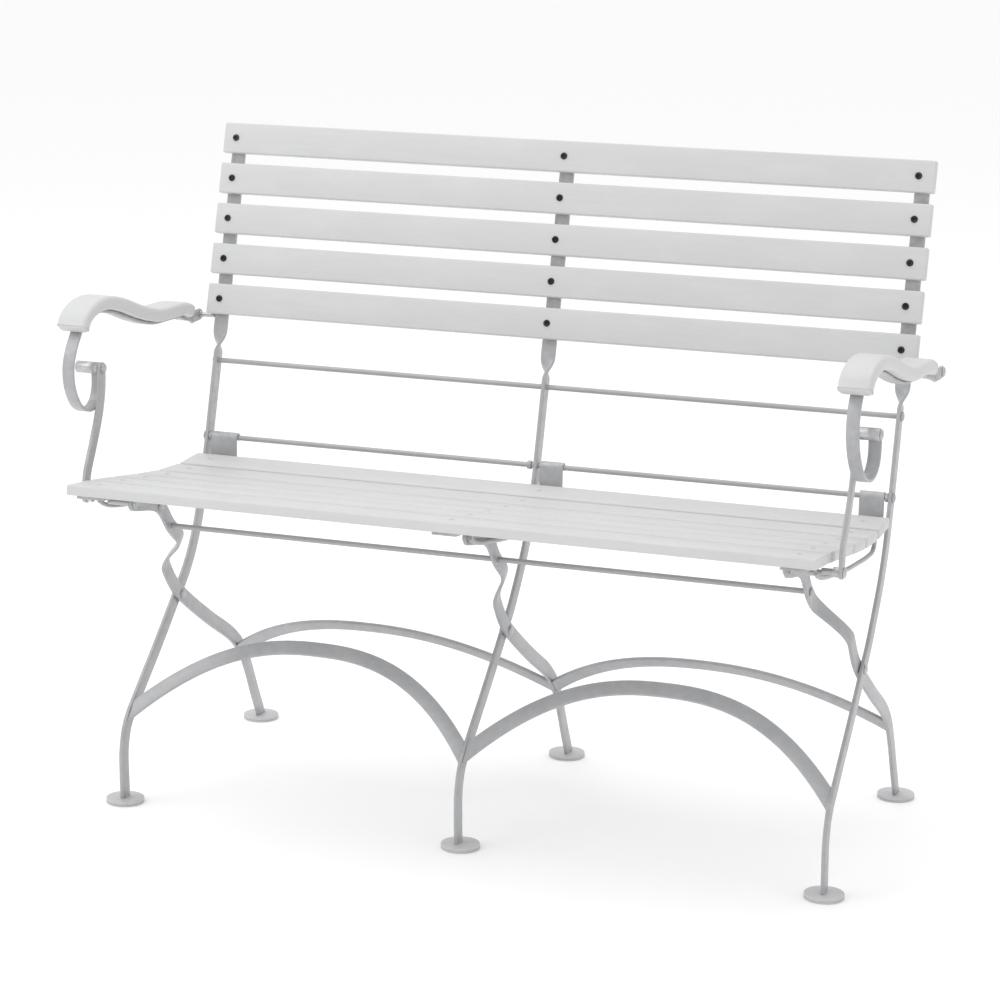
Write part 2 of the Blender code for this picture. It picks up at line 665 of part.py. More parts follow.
def arm_strip_line(arm):
    """Middle line of the strip as (side-view point, x): rear end, under the board, scroll."""
    under = shifted(smooth_curve(ARM_TOP_CURVE), ARM_THICK + ARM_STRIP_THICK / 2 + 2 * GAP)
    under = under[::-1]
    rear = smooth_curve([*STRIP_REAR_CURVE, under[0]])[:-1]
    scroll = smooth_curve([under[-1], *SCROLL_CURVE])[1:]
    start_x = board_x(arm["sign"], under[0].x)
    front_x = board_x(arm["sign"], under[-1].x)
    start_y = ARM_PIVOT[0] - ARM_STRIP_WIDTH / 2
    line = []
    for p in rear:
        share = ease((start_y - p.x) / (start_y - under[0].x))
        line.append((p, arm["rear_x"] + (start_x - arm["rear_x"]) * share))
    line += [(p, board_x(arm["sign"], p.x)) for p in under]
    for i, p in enumerate(scroll):
        share = ease((i + 1) / (len(scroll) - 4))
        line.append((p, front_x + (arm["scroll_x"] - front_x) * share))
    return line


def make_arm_strip(name, arm, pivot):
    """Strip with its rear end on edge and round, turned a quarter in front of the pin."""
    line = arm_strip_line(arm)
    points = [p for p, _ in line]
    along = tangents(points)
    rings = []
    for point, direction, wide in round_end(points[0], -along[0], ARM_STRIP_WIDTH)[::-1]:
        centre, _, up = in_space(line[0][1], point, direction)
        rings.append(bar_ring(centre, -up, -X_AXIS, wide, ARM_STRIP_THICK, 0))
    for (point, x), direction in zip(line, along):
        depth = (point.x - STRIP_TURN_LOW_Y) / (STRIP_TURN_HIGH_Y - STRIP_TURN_LOW_Y)
        turn = math.pi / 2 * ease(depth)
        centre, _, up = in_space(x, point, direction)
        across = X_AXIS * math.cos(turn) + up * math.sin(turn)
        through = up * math.cos(turn) - X_AXIS * math.sin(turn)
        rings.append(bar_ring(centre, across, through, ARM_STRIP_WIDTH, ARM_STRIP_THICK, 0))
    strip = make_object(name, skin_rings(bmesh.new(), rings), STEEL, pivot)
    drill(strip, ((arm["rear_x"], ARM_PIVOT, ARM_PIN_RADIUS + GAP),))


def make_barrel(name, x0, x1, pivot):
    """Tube on the scroll's end that the top of the strut is bolted to."""
    bore = PIN_RADIUS + GAP
    edge = 0.0007
    profile = ((x0, bore), (x0, BARREL_RADIUS - edge), (x0 + edge, BARREL_RADIUS),
               (x1 - edge, BARREL_RADIUS), (x1, BARREL_RADIUS - edge), (x1, bore))
    count = 16
    bm = bmesh.new()
    loops = []
    for x, radius in profile:
        loop = []
        for i in range(count):
            angle = 2 * math.pi * i / count
            loop.append(bm.verts.new((x, ARM_BARREL[0] + radius * math.cos(angle),
                                      ARM_BARREL[1] + radius * math.sin(angle))))
        loops.append(loop)
    for first, second in zip(loops, loops[1:] + loops[:1]):
        for i in range(count):
            j = (i + 1) % count
            bm.faces.new((first[i], first[j], second[j], second[i]))
    make_object(name, bm, STEEL, pivot)


def make_arm_bolt(name, x0, x1, pivot):
    """Bolt through tube and strut: riveted end at -X, domed head at +X."""
    profile = head_profile(x0 - GAP, 0.0045, 0.0015, -1)[::-1]
    profile += [(x0 - GAP, PIN_RADIUS), (x1 + GAP, PIN_RADIUS)] + head_profile(x1 + GAP)
    make_turned(name, profile, ARM_BARREL, pivot)


def make_strut(name, x, pivot):
    """Gently bent bar from the seat to the arm's barrel, round at both ends."""
    rings = edge_bar(lambda p: x, smooth_curve(STRUT_CURVE), STRUT_WIDTH, BAR_THICK,
                     round_start=True)
    strut = make_object(name, skin_rings(bmesh.new(), rings), STEEL, pivot)
    drill(strut, ((x, STRUT_FOOT, PIN_RADIUS + GAP), (x, ARM_BARREL, PIN_RADIUS + GAP)))


def make_arm(side, arm):
    arm_pivot = make_pivot(f"arm_pivot_{side}", ARM_PIVOT)
    make_board(f"arm_board_{side}", arm["sign"], arm_pivot)
    make_arm_strip(f"arm_strip_{side}", arm, arm_pivot)
    make_barrel(f"arm_barrel_{side}", arm["tube"][0], arm["tube"][1], arm_pivot)
    make_arm_bolt(f"arm_bolt_{side}", arm["bolt"][0], arm["bolt"][1], arm_pivot)
    strut_pivot = make_pivot(f"strut_pivot_{side}", STRUT_FOOT)
    make_strut(f"arm_strut_{side}", arm["sign"] * STRUT_X, strut_pivot)


def main():
    clear_scene()
    make_back_frame()
    make_scissor_pins()
    make_rear_frame(make_pivot("rear_frame_pivot", SCISSOR))
    make_seat(make_pivot("seat_pivot", HINGE))
    for side, arm in ARM_SIDES.items():
        make_arm(side, arm)


main()
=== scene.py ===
"""Visual model of the folding garden bench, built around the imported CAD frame.

Metres, +X to the right as seen from the front, +Y to the back, +Z up. The origin is on the
floor, in the middle of the bench. Side views are points of (y, z). Each piece stands for one
CAD node, with finer curves, rolled edges and domed heads. The slats' screws and the collars on
the hinge rod are added.
"""
import json
import math

import bmesh
import bpy
from mathutils import Matrix, Vector

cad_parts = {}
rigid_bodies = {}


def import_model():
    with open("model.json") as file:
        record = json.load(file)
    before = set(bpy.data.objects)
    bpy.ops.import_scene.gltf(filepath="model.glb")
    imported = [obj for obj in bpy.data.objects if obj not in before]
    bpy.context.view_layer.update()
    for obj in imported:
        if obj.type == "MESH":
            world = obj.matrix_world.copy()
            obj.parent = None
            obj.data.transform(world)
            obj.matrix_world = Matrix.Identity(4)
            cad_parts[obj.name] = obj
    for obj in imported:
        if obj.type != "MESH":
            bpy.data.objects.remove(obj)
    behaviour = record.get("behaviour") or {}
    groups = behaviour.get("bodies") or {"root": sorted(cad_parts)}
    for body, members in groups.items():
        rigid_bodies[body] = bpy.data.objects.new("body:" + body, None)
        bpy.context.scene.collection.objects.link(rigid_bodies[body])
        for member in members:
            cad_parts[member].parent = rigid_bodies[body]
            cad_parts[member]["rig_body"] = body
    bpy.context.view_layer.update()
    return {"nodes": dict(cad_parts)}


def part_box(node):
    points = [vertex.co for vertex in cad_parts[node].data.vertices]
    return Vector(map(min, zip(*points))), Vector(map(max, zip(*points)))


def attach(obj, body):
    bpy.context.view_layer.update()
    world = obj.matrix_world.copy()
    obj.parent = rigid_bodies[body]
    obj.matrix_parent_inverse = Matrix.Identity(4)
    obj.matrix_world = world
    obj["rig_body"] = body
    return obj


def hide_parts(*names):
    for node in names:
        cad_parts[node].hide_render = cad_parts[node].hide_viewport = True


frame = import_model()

NODES = frame["nodes"]

# --- look --------------------------------------------------------------------------------------
# Angles are in degrees, the lens in millimetres.
CAMERA_PLACE = (1.3041, -3.6411, 1.2989)
CAMERA_AZIMUTH = 19.8443
CAMERA_ELEVATION = 12.6602
CAMERA_ROLL = 0.9985
CAMERA_LENS = 108.604

FLOOR_SIZE = 60.0
FLOOR_COLOUR = (0.94, 0.94, 0.945, 1.0)
FLOOR_GLOW = 0.09
WORLD_STRENGTH = 0.935
# Name, place, aim, size and power of each light.
LIGHTS = (("key", (-2.2, -1.8, 3.4), (0.0, 0.0, 0.3), 2.6, 33.0),
          ("top", (-0.4, 0.6, 4.0), (0.0, 0.0, 0.0), 3.4, 38.0))

# Base colours: the two tones of a surface, and what shows where it is worn.
WOOD_LIGHT = (0.590, 0.592, 0.594)
WOOD_DARK = (0.572, 0.574, 0.577)
WOOD_WARM = (0.582, 0.582, 0.580)
WOOD_PORE = (0.520, 0.520, 0.523)
WOOD_WORN = (0.670, 0.670, 0.665)
STEEL_LIGHT = (0.405, 0.408, 0.416)
STEEL_DARK = (0.366, 0.369, 0.378)
STEEL_WORN = (0.530, 0.531, 0.537)
# The pads' colours are the steel paint made lighter. This is painted light, standing in for the
# light that falls on their tops.
FOOT_LIT_LIGHT = (0.540, 0.542, 0.550)
FOOT_LIT_DARK = (0.490, 0.492, 0.500)
FOOT_LIT_WORN = (0.600, 0.600, 0.604)
BOLT_LIGHT = (0.500, 0.502, 0.508)
BOLT_DARK = (0.400, 0.402, 0.410)
BOLT_WORN = (0.620, 0.620, 0.622)
SCREW_LIGHT = (0.035, 0.035, 0.037)
SCREW_DARK = (0.014, 0.014, 0.015)
SCREW_WORN = (0.16, 0.16, 0.165)

SHARP_ANGLE = 50                # edges that turn more than this stay sharp, in degrees
CURVE_STEPS = 7                 # points for each control point of a curve
SEAT_CURVE_STEPS = 8
LATHE_SEGMENTS = 32
GUIDE_SEGMENTS = 20
FOOT_SEGMENTS = 72
ARCH_STEPS = 64
SCREW_SEGMENTS = 48

# Screws: the back's are black button heads, the seat's are low and painted over.
BACK_SCREWS = (("left", -0.4860), ("middle", -0.0015), ("right", 0.4830))
BACK_SCREW_RADIUS = 0.0047
BACK_SCREW_HEIGHT = 0.0024
SEAT_SCREW_RADIUS = 0.0040
SEAT_SCREW_HEIGHT = 0.0009
SCREW_SINK = 0.0008             # how far a head reaches into its slat

# --- driving dimensions ------------------------------------------------------------------------
GAP = 0.0003                    # play between faces that touch
BAR_WIDTH = 0.020               # flat bar of both frames
BAR_THICK = 0.005
BAR_ROUND = 0.0011              # rolled corners of the bars
STRIP_ROUND = 0.0009            # and of the strips
ROD_RADIUS = 0.0035             # cross rods
PIN_RADIUS = 0.004              # scissor, slide and arm pins
HEAD_RADIUS = 0.0065            # bolt and rivet heads
HEAD_HEIGHT = 0.0032
HOLE_REACH = 0.010              # half the length of a drilled hole's cutter
ROD_COLLAR_RADIUS = 0.0058      # collars on the hinge rod
ROD_COLLAR_EDGE = 0.0006
LEFT_COLLAR_LENGTH = 0.0045
MIDDLE_COLLAR_LENGTH = 0.0035
OUTER_COLLAR_LENGTH = 0.0060    # the one on the other side of the middle upright
FOOT_RADIUS = 0.0255
FOOT_THICK = 0.007
FOOT_EDGE = 0.0012              # rolled edges of the pads
FOOT_GROOVE = (0.0024, 0.0034)  # heights between which a groove runs round the rim
FOOT_GROOVE_DEPTH = 0.0007
FOOT_GROOVE_RUN = 0.0002        # height of the groove's sloping sides
REAR_FOOT_OFF = 0.0015          # the rear pads sit this far behind their legs' lower ends

UPRIGHT_X = 0.4840              # centre plane of the outer uprights up to the scissor pins
UPRIGHT_TOP_X = 0.4865          # the same uprights at the seat and above
FLARE_LOW_Z = 0.285             # heights between which the outer uprights spread
FLARE_HIGH_Z = 0.400
REAR_LEG_X = 0.4780             # centre plane of the outer rear legs, inside the uprights
REAR_LEG_TOP_X = 0.4370         # the same legs after their inward crank
MIDDLE_UPRIGHT_X = -0.0030      # the middle upright and rear leg pass each other at x = 0
MIDDLE_LEG_X = 0.0030
MIDDLE_LEG_TOP_X = 0.0260
CRANK_LOW_Z = 0.300             # heights between which the rear legs crank
CRANK_HIGH_Z = 0.360

SCISSOR = (0.0065, 0.2525)      # side view of the crossing of the two frames
HINGE = (0.113, 0.455)          # rod that the seat turns on
STRETCHER = (-0.108, 0.377)     # rod between the rear legs
SLIDE_PIN = (-0.142, 0.411)     # second pin of the rear legs
FRONT_PIN = (-0.217, 0.4295)    # front pin of the rear legs
PIN_STOP = 0.001                # space between those two pins and the guide rods
STRETCHER_HEAD = (0.0055, 0.0025)       # radius and height
ARM_PIVOT = (0.159, 0.617)      # rear end of the arms
STRUT_FOOT = (-0.219, 0.433)    # strut pivot at the seat
ARM_BARREL = (STRUT_FOOT[0] + ARM_PIVOT[0] - HINGE[0],
              STRUT_FOOT[1] + ARM_PIVOT[1] - HINGE[1])

BACK_LEAN = math.atan(0.26)     # lean of the uprights above the seat
BACK_BASE = (0.117, 0.455)      # lowest point of the uprights' straight part
TIE_ROD_Z = 0.557               # upper rod between the uprights
UPRIGHT_TOP_Z = 0.872
TWIST_LOW_Z = 0.566             # the uprights turn a quarter between these heights
TWIST_HIGH_Z = 0.600

SLAT_THICK = 0.0135
SLAT_ROUND = 0.0022
BACK_SLAT_COUNT = 5
BACK_SLAT_LENGTH = 1.009
BACK_SLAT_HEIGHT = 0.0422
BACK_SLAT_PITCH = 0.0566
BACK_SLAT_LOW_Z = 0.6415        # middle of the lowest back slat
SEAT_SLAT_COUNT = 6
SEAT_SLAT_LENGTH = 0.983
SEAT_SLAT_WIDTH = 0.0583

SEAT_STRIPS = (("left", -0.4595, 0.039), ("middle", 0.0235, 0.033), ("right", 0.4625, 0.033))
STRIP_THICK = 0.003
STRIP_PLAY = 0.0005             # space between the strips and the slats, besides GAP
STRIP_BEND = 0.007              # radius of the bend behind the last slat
STRIP_END_INSET = 0.006         # the strip's flats end this far inside each slat's edges
EYE_RADIUS = 0.0055             # middle of the strip's thickness around the hinge rod
GUIDE_X = 0.4760                # guide rods, under the outer edge of the strips
MIDDLE_GUIDE_X = 0.0365
GUIDE_PLACES = {"left": -GUIDE_X, "middle": MIDDLE_GUIDE_X, "right": GUIDE_X}
GUIDE_RADIUS = 0.003

ARM_FRONT_X = 0.5130            # centre of the arm boards at ARM_FRONT_Y; they spread backwards
ARM_FRONT_Y = -0.240
ARM_SPLAY = 0.0245              # sideways run of the boards for each metre of depth
ARM_WIDTH = 0.042
ARM_THICK = 0.018
ARM_ROUND = 0.006
# Rounded board ends: distance from the end, and the section's share of its full thickness.
BOARD_END = ((0.0, 0.55), (0.0004, 0.68), (0.0010, 0.78), (0.0018, 0.86), (0.0030, 0.93),
             (0.0045, 0.98))
BOARD_END_WIDTH = 0.55          # how much of the width stays where the share is 0
ARM_STRIP_WIDTH = 0.016
ARM_STRIP_THICK = 0.004
STRIP_TURN_LOW_Y = 0.112        # the strip turns a quarter between these depths
STRIP_TURN_HIGH_Y = 0.140
ARM_PIN_RADIUS = 0.003
ARM_COLLAR_RADIUS = 0.005
ARM_COLLAR_LENGTH = 0.002
RIVET_RADIUS = 0.0045           # riveted ends of the arm bolts
RIVET_HEIGHT = 0.0015
STRUT_X = 0.5035                # centre plane of the struts
STRUT_WIDTH = 0.016
BARREL_RADIUS = 0.0078
BARREL_EDGE = 0.0007
SPACER_PLAY = 0.002             # space between a strut's spacer and the seat slats
SLEEVE_RADIUS = 0.0062          # spacer between a strut and the seat

# Side views, in order from the floor up or from the front back.
UPRIGHT_CURVE = ((-0.156, 0.0073), (-0.158, 0.040), (-0.158, 0.075), (-0.147, 0.108),
                 (-0.115, 0.140), (-0.056, 0.193), SCISSOR, (0.039, 0.285),
                 (0.0755, 0.340), (0.0985, 0.395), BACK_BASE)
REAR_LEG_CURVE = ((0.2705, 0.0073), (0.247, 0.050), (0.225, 0.092), (0.204, 0.124),
                  (0.170, 0.153), (0.094, 0.197), SCISSOR, (-0.018, 0.273),
                  (-0.043, 0.305), (-0.068, 0.345), STRETCHER, SLIDE_PIN, FRONT_PIN)
SEAT_TOP_CURVE = ((-0.2965, 0.4655), (-0.229, 0.4590), (-0.163, 0.4505), (-0.083, 0.4395),
                  (-0.013, 0.4325), (0.047, 0.4315), (0.0890, 0.4345))
GUIDE_CURVE = ((-0.236, 0.4340), (-0.226, 0.4280), (-0.205, 0.4210), (-0.150, 0.4115),
               (-0.085, 0.4025), (-0.020, 0.3965), (0.040, 0.3925), (0.065, 0.3935),
               (0.0735, 0.3990), (0.0765, 0.4140))
ARM_TOP_CURVE = ((-0.2400, 0.6590), (-0.2290, 0.6740), (-0.2060, 0.6850), (-0.1700, 0.6895),
                 (-0.1200, 0.6815), (-0.0600, 0.6630), (-0.0050, 0.6500), (0.0450, 0.6480),
                 (0.0850, 0.6455), (0.1060, 0.6390))
STRIP_REAR_CURVE = (ARM_PIVOT, (0.1430, 0.6165), (0.1240, 0.6155))
SCROLL_CURVE = ((-0.2350, 0.6310), (-0.2440, 0.6070), (-0.2400, 0.5790), (-0.2210, 0.5530),
                (-0.1950, 0.5430), (-0.1735, 0.5490), (-0.1638, 0.5650), (-0.1629, 0.5950))
STRUT_CURVE = (STRUT_FOOT, (-0.2175, 0.4600), (-0.1995, 0.4980), (-0.1825, 0.5350),
               (-0.1745, 0.5650), ARM_BARREL)

FRONT_ARCH = {"base": (-0.141, 0.1236), "tilt": math.radians(49), "rise": 0.121, "power": 2.4}
REAR_ARCH = {"base": (0.194, 0.1257), "tilt": math.radians(138), "rise": 0.119, "power": 2.26}

# The two arm irons are the same part, not mirrored: both tubes point to -X from the scroll.
ARM_SIDES = {"left": {"sign": -1, "rear_x": -0.5220, "scroll_x": -0.5150,
                      "tube": (-0.5385, -0.5065), "bolt": (-0.5385, -0.5010)},
             "right": {"sign": 1, "rear_x": 0.5348, "scroll_x": 0.5245,
                       "tube": (0.5065, 0.5330), "bolt": (0.5010, 0.5330)}}

SIDES = (("left", -1), ("right", 1))
X_AXIS = Vector((1, 0, 0))


# --- materials ---------------------------------------------------------------------------------
def add(tree, kind, values=None, **settings):
    """A node with settings on it and values in its sockets."""
    node = tree.nodes.new(kind)
    for key, value in settings.items():
        setattr(node, key, value)
    for key, value in (values or {}).items():
        node.inputs[key].default_value = value
    return node


def new_tree(name, values):
    """A material whose shader's sockets hold values; returns (material, tree, shader)."""
    material = bpy.data.materials.new(name)
    material.use_nodes = True
    tree = material.node_tree
    shader = tree.nodes["Principled BSDF"]
    for key, value in values.items():
        shader.inputs[key].default_value = value
    return material, tree, shader


def noise(tree, vector, scale, detail, roughness, distortion=0.0):
    node = add(tree, "ShaderNodeTexNoise",
               {"Scale": scale, "Detail": detail, "Roughness": roughness,
                "Distortion": distortion})
    tree.links.new(vector, node.inputs["Vector"])
    return node.outputs["Fac"]


def stretched(tree, scale):
    """Object coordinates, scaled on each axis."""
    place = add(tree, "ShaderNodeTexCoord").outputs["Object"]
    node = add(tree, "ShaderNodeMapping", {"Scale": scale})
    tree.links.new(place, node.inputs["Vector"])
    return node.outputs["Vector"]


def spread(tree, value, low, high, to_low, to_high):
    node = add(tree, "ShaderNodeMapRange",
               {"From Min": low, "From Max": high, "To Min": to_low, "To Max": to_high})
    tree.links.new(value, node.inputs["Value"])
    return node.outputs["Result"]


def blend_colours(tree, factor, first, second):
    """Mix of a colour or an output with another."""
    node = add(tree, "ShaderNodeMix", data_type="RGBA")
    tree.links.new(factor, node.inputs[0])
    for socket, colour in ((node.inputs[6], first), (node.inputs[7], second)):
        if isinstance(colour, tuple):
            socket.default_value = (*colour, 1.0)
        else:
            tree.links.new(colour, socket)
    return node.outputs[2]


def bump(tree, height, strength, distance, normal=None):
    node = add(tree, "ShaderNodeBump", {"Strength": strength, "Distance": distance})
    tree.links.new(height, node.inputs["Height"])
    if normal is not None:
        tree.links.new(normal, node.inputs["Normal"])
    return node.outputs["Normal"]


def edges(tree, low, high):
    """1 on outer edges, 0 on flats."""
    shape = add(tree, "ShaderNodeNewGeometry").outputs["Pointiness"]
    return spread(tree, shape, low, high, 0.0, 1.0)


def times(tree, first, second):
    node = add(tree, "ShaderNodeMath", operation="MULTIPLY")
    tree.links.new(first, node.inputs[0])
    tree.links.new(second, node.inputs[1])
    return node.outputs["Value"]


def painted_wood(name, along):
    """Grey paint over open grain; along is 0 or 1, the axis that the grain runs on."""
    def axes(length, across):
        scale = [across] * 3
        scale[along] = length
        return stretched(tree, scale)

    material, tree, shader = new_tree(name, {"Specular IOR Level": 0.42})
    grain = noise(tree, axes(7.0, 230.0), 1.0, 6.0, 0.62, 0.35)
    pores = noise(tree, axes(34.0, 1300.0), 1.0, 3.0, 0.55)
    brush = noise(tree, axes(3.0, 620.0), 1.0, 2.0, 0.5)
    patches = noise(tree, axes(2.2, 16.0), 1.0, 3.0, 0.5)
    soiling = noise(tree, axes(9.0, 26.0), 1.0, 5.0, 0.65)
    colour = blend_colours(tree, spread(tree, grain, 0.36, 0.66, 0.0, 1.0),
                           WOOD_LIGHT, WOOD_DARK)
    colour = blend_colours(tree, spread(tree, patches, 0.35, 0.65, 0.0, 0.45), colour, WOOD_WARM)
    closed_pores = spread(tree, pores, 0.60, 0.72, 0.0, 0.55)
    colour = blend_colours(tree, closed_pores, colour, WOOD_PORE)
    worn = times(tree, edges(tree, 0.50, 0.58), spread(tree, soiling, 0.45, 0.70, 0.0, 0.65))
    colour = blend_colours(tree, worn, colour, WOOD_WORN)
    tree.links.new(colour, shader.inputs["Base Color"])
    tree.links.new(spread(tree, patches, 0.3, 0.7, 0.40, 0.54), shader.inputs["Roughness"])
    normal = bump(tree, grain, 0.22, 0.0006)
    normal = bump(tree, brush, 0.10, 0.0003, normal)
    normal = bump(tree, pores, 0.16, 0.0002, normal)
    tree.links.new(normal, shader.inputs["Normal"])
    return material


def painted_metal(name, light, dark, worn_colour, values, roughness):
    """Powder coat with fine orange peel, cloudy tone and rubbed edges."""
    material, tree, shader = new_tree(name, values)
    place = stretched(tree, (1.0, 1.0, 1.0))
    peel = noise(tree, place, 900.0, 2.0, 0.5)
    hammer = noise(tree, place, 95.0, 3.0, 0.5)
    clouds = noise(tree, place, 13.0, 4.0, 0.6)
    specks = noise(tree, place, 460.0, 1.0, 0.5)
    colour = blend_colours(tree, spread(tree, clouds, 0.34, 0.66, 0.0, 1.0), light, dark)
    dust = spread(tree, specks, 0.68, 0.78, 0.0, 0.35)
    colour = blend_colours(tree, dust, colour, dark)
    rubbed = times(tree, edges(tree, 0.505, 0.60), spread(tree, hammer, 0.42, 0.62, 0.0, 0.8))
    colour = blend_colours(tree, rubbed, colour, worn_colour)
    tree.links.new(colour, shader.inputs["Base Color"])
    rough = spread(tree, clouds, 0.3, 0.7, roughness - 0.05, roughness + 0.07)
    tree.links.new(rough, shader.inputs["Roughness"])
    normal = bump(tree, hammer, 0.20, 0.0008)
    normal = bump(tree, peel, 0.14, 0.0002, normal)
    tree.links.new(normal, shader.inputs["Normal"])
    return material


WOOD_ALONG_X = painted_wood("painted_wood_along_x", 0)
WOOD_ALONG_Y = painted_wood("painted_wood_along_y", 1)
STEEL = painted_metal("powder_coated_steel", STEEL_LIGHT, STEEL_DARK, STEEL_WORN,
                      {"Metallic": 0.12, "Specular IOR Level": 0.55}, 0.36)
# Lighter copy of the steel paint for the pads: painted light on their tops.
LIT_FOOT_STEEL = painted_metal("foot_steel_painted_light", FOOT_LIT_LIGHT, FOOT_LIT_DARK, FOOT_LIT_WORN,
                     {"Metallic": 0.05, "Specular IOR Level": 0.5}, 0.38)
BOLT = painted_metal("bolt_steel", BOLT_LIGHT, BOLT_DARK, BOLT_WORN,
                     {"Metallic": 0.45, "Specular IOR Level": 0.6}, 0.27)
BLACK_SCREW = painted_metal("black_screw", SCREW_LIGHT, SCREW_DARK, SCREW_WORN,
                            {"Metallic": 0.85, "Specular IOR Level": 0.5}, 0.30)
BOLT_NODES = ("scissor_pin", "slide_pin", "front_pin", "arm_bolt", "strut_bolt", "arm_pivot_pin",
              "arm_barrel")


# --- pieces ------------------------------------------------------------------------------------
def make_piece(name, bm, material, body, sharp_angle):
    """Piece that rides on a body; edges sharper than sharp_angle degrees stay sharp."""
    bmesh.ops.recalc_face_normals(bm, faces=bm.faces)
    mesh = bpy.data.meshes.new(name)
    bm.to_mesh(mesh)
    bm.free()
    mesh.shade_smooth()
    mesh.set_sharp_from_angle(angle=math.radians(sharp_angle))
    mesh.materials.append(material)
    piece = bpy.data.objects.new(name, mesh)
    bpy.context.scene.collection.objects.link(piece)
    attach(piece, body)
    return piece


def make_object(node, bm, material, sharp_angle=SHARP_ANGLE):
    """Piece that stands for a CAD node and moves with its body."""
    piece = make_piece(f"{node}.fine", bm, material, NODES[node]["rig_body"], sharp_angle)
    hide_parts(node)
    return piece


# --- curves ------------------------------------------------------------------------------------
def smooth_curve(points, steps=CURVE_STEPS):
    """Centripetal Catmull-Rom curve through points."""
    points = [Vector(p) for p in points]
    points = [2 * points[0] - points[1]] + points + [2 * points[-1] - points[-2]]
    curve = []
    for p0, p1, p2, p3 in zip(points, points[1:], points[2:], points[3:]):
        t0 = 0.0
        t1 = t0 + math.sqrt((p1 - p0).length)
        t2 = t1 + math.sqrt((p2 - p1).length)
        t3 = t2 + math.sqrt((p3 - p2).length)
        for i in range(steps):
            t = t1 + (t2 - t1) * i / steps
            a1 = p0.lerp(p1, (t - t0) / (t1 - t0))
            a2 = p1.lerp(p2, (t - t1) / (t2 - t1))
            a3 = p2.lerp(p3, (t - t2) / (t3 - t2))
            b1 = a1.lerp(a2, (t - t0) / (t2 - t0))
            b2 = a2.lerp(a3, (t - t1) / (t3 - t1))
            curve.append(b1.lerp(b2, (t - t1) / (t2 - t1)))
    curve.append(points[-2])
    return curve


def tangents(points):
    """Unit direction of a curve at each of its points."""
    result = []
    for i in range(len(points)):
        before = points[max(i - 1, 0)]
        after = points[min(i + 1, len(points) - 1)]
        result.append((after - before).normalized())
    return result


def shifted(curve, depth):
    """The same curve moved by depth to its right-hand side."""
    return [p - Vector((-a.y, a.x)) * depth for p, a in zip(curve, tangents(curve))]


def ease(value):
    """Smooth step from 0 to 1."""
    value = min(max(value, 0.0), 1.0)
    return value * value * (3 - 2 * value)


def arc_points(centre, radius, start, end, steps):
    """Points of an arc in the side view, angles in degrees from +Y towards +Z."""
    result = []
    for i in range(steps + 1):
        angle = math.radians(start + (end - start) * i / steps)
        result.append(Vector((centre[0] + radius * math.cos(angle),
                              centre[1] + radius * math.sin(angle))))
    return result


# --- solids ------------------------------------------------------------------------------------
def skin_rings(bm, rings):
    """Joins rings of the same number of points into a closed body."""
    loops = [[bm.verts.new(p) for p in ring] for ring in rings]
    count = len(loops[0])
    for first, second in zip(loops, loops[1:]):
        for i in range(count):
            j = (i + 1) % count
            bm.faces.new((first[i], first[j], second[j], second[i]))
    bm.faces.new(loops[0])
    bm.faces.new(loops[-1])
    return bm


def bar_ring(centre, across, through, width, thick, radius=BAR_ROUND):
    """Section of a flat bar with rolled corners."""
    w = width / 2 - radius
    t = thick / 2 - radius
    ring = []
    for corner_w, corner_t, start in ((w, t, 0), (-w, t, 90), (-w, -t, 180), (w, -t, 270)):
        for degrees in (0, 30, 60, 90):
            angle = math.radians(start + degrees)
            a = corner_w + radius * math.cos(angle)
            b = corner_t + radius * math.sin(angle)
            ring.append(centre + across * a + through * b)
    return ring


def in_space(x, point, along):
    """Centre and upward normal of a side-view point in the plane at x."""
    return Vector((x, point.x, point.y)), Vector((0, -along.y, along.x))


def round_end(point, along, width):
    """Stations of a half-round end beyond a point."""
    stations = []
    for degrees in (12, 24, 36, 48, 58, 67, 75, 82):
        angle = math.radians(degrees)
        reach = along * width / 2 * math.sin(angle)
        stations.append((point + reach, along, width * math.cos(angle)))
    return stations


def edge_bar(x_of, curve, width, thick, round_start=False):
    """Rings of a flat bar bent in the side view: thickness along X, far end half round."""
    along = tangents(curve)
    stations = [(p, a, width) for p, a in zip(curve, along)]
    stations += round_end(curve[-1], along[-1], width)
    if round_start:
        start = [(p, -a, w) for p, a, w in round_end(curve[0], -along[0], width)]
        stations = start[::-1] + stations
    rings = []
    for point, direction, wide in stations:
        centre, up = in_space(x_of(point), point, direction)
        rings.append(bar_ring(centre, up, X_AXIS, wide, thick))
    return rings


def flat_strip(x, curve, width, thick):
    """Rings of a thin strip bent in the side view, its width along X."""
    rings = []
    for point, along in zip(curve, tangents(curve)):
        centre, up = in_space(x, point, along)
        rings.append(bar_ring(centre, X_AXIS, up, width, thick, STRIP_ROUND))
    return rings


def level_ring(ring, along, z):
    """Slides a ring's points along the bar onto the plane at height z."""
    direction = Vector((0, along.x, along.y))
    return [p + direction * ((z - p.z) / direction.z) for p in ring]


def lathe_x(bm, profile, centre, segments=LATHE_SEGMENTS):
    """Turned solid about the X direction; profile holds (x, radius) from end to end."""
    rings = []
    for x, radius in profile:
        ring = []
        for i in range(segments):
            angle = 2 * math.pi * i / segments
            ring.append(Vector((x, centre[0] + radius * math.cos(angle),
                                centre[1] + radius * math.sin(angle))))
        rings.append(ring)
    return skin_rings(bm, rings)


def head_profile(x, radius=HEAD_RADIUS, height=HEAD_HEIGHT, side=1):
    """Low domed head that starts at x and rises towards side."""
    dome = [(x, radius * 0.94), (x + side * height * 0.08, radius)]
    for i in range(1, 8):
        angle = math.pi / 2 * i / 7.6
        dome.append((x + side * height * (0.30 + 0.70 * math.sin(angle)),
                     radius * math.cos(angle)))
    return dome


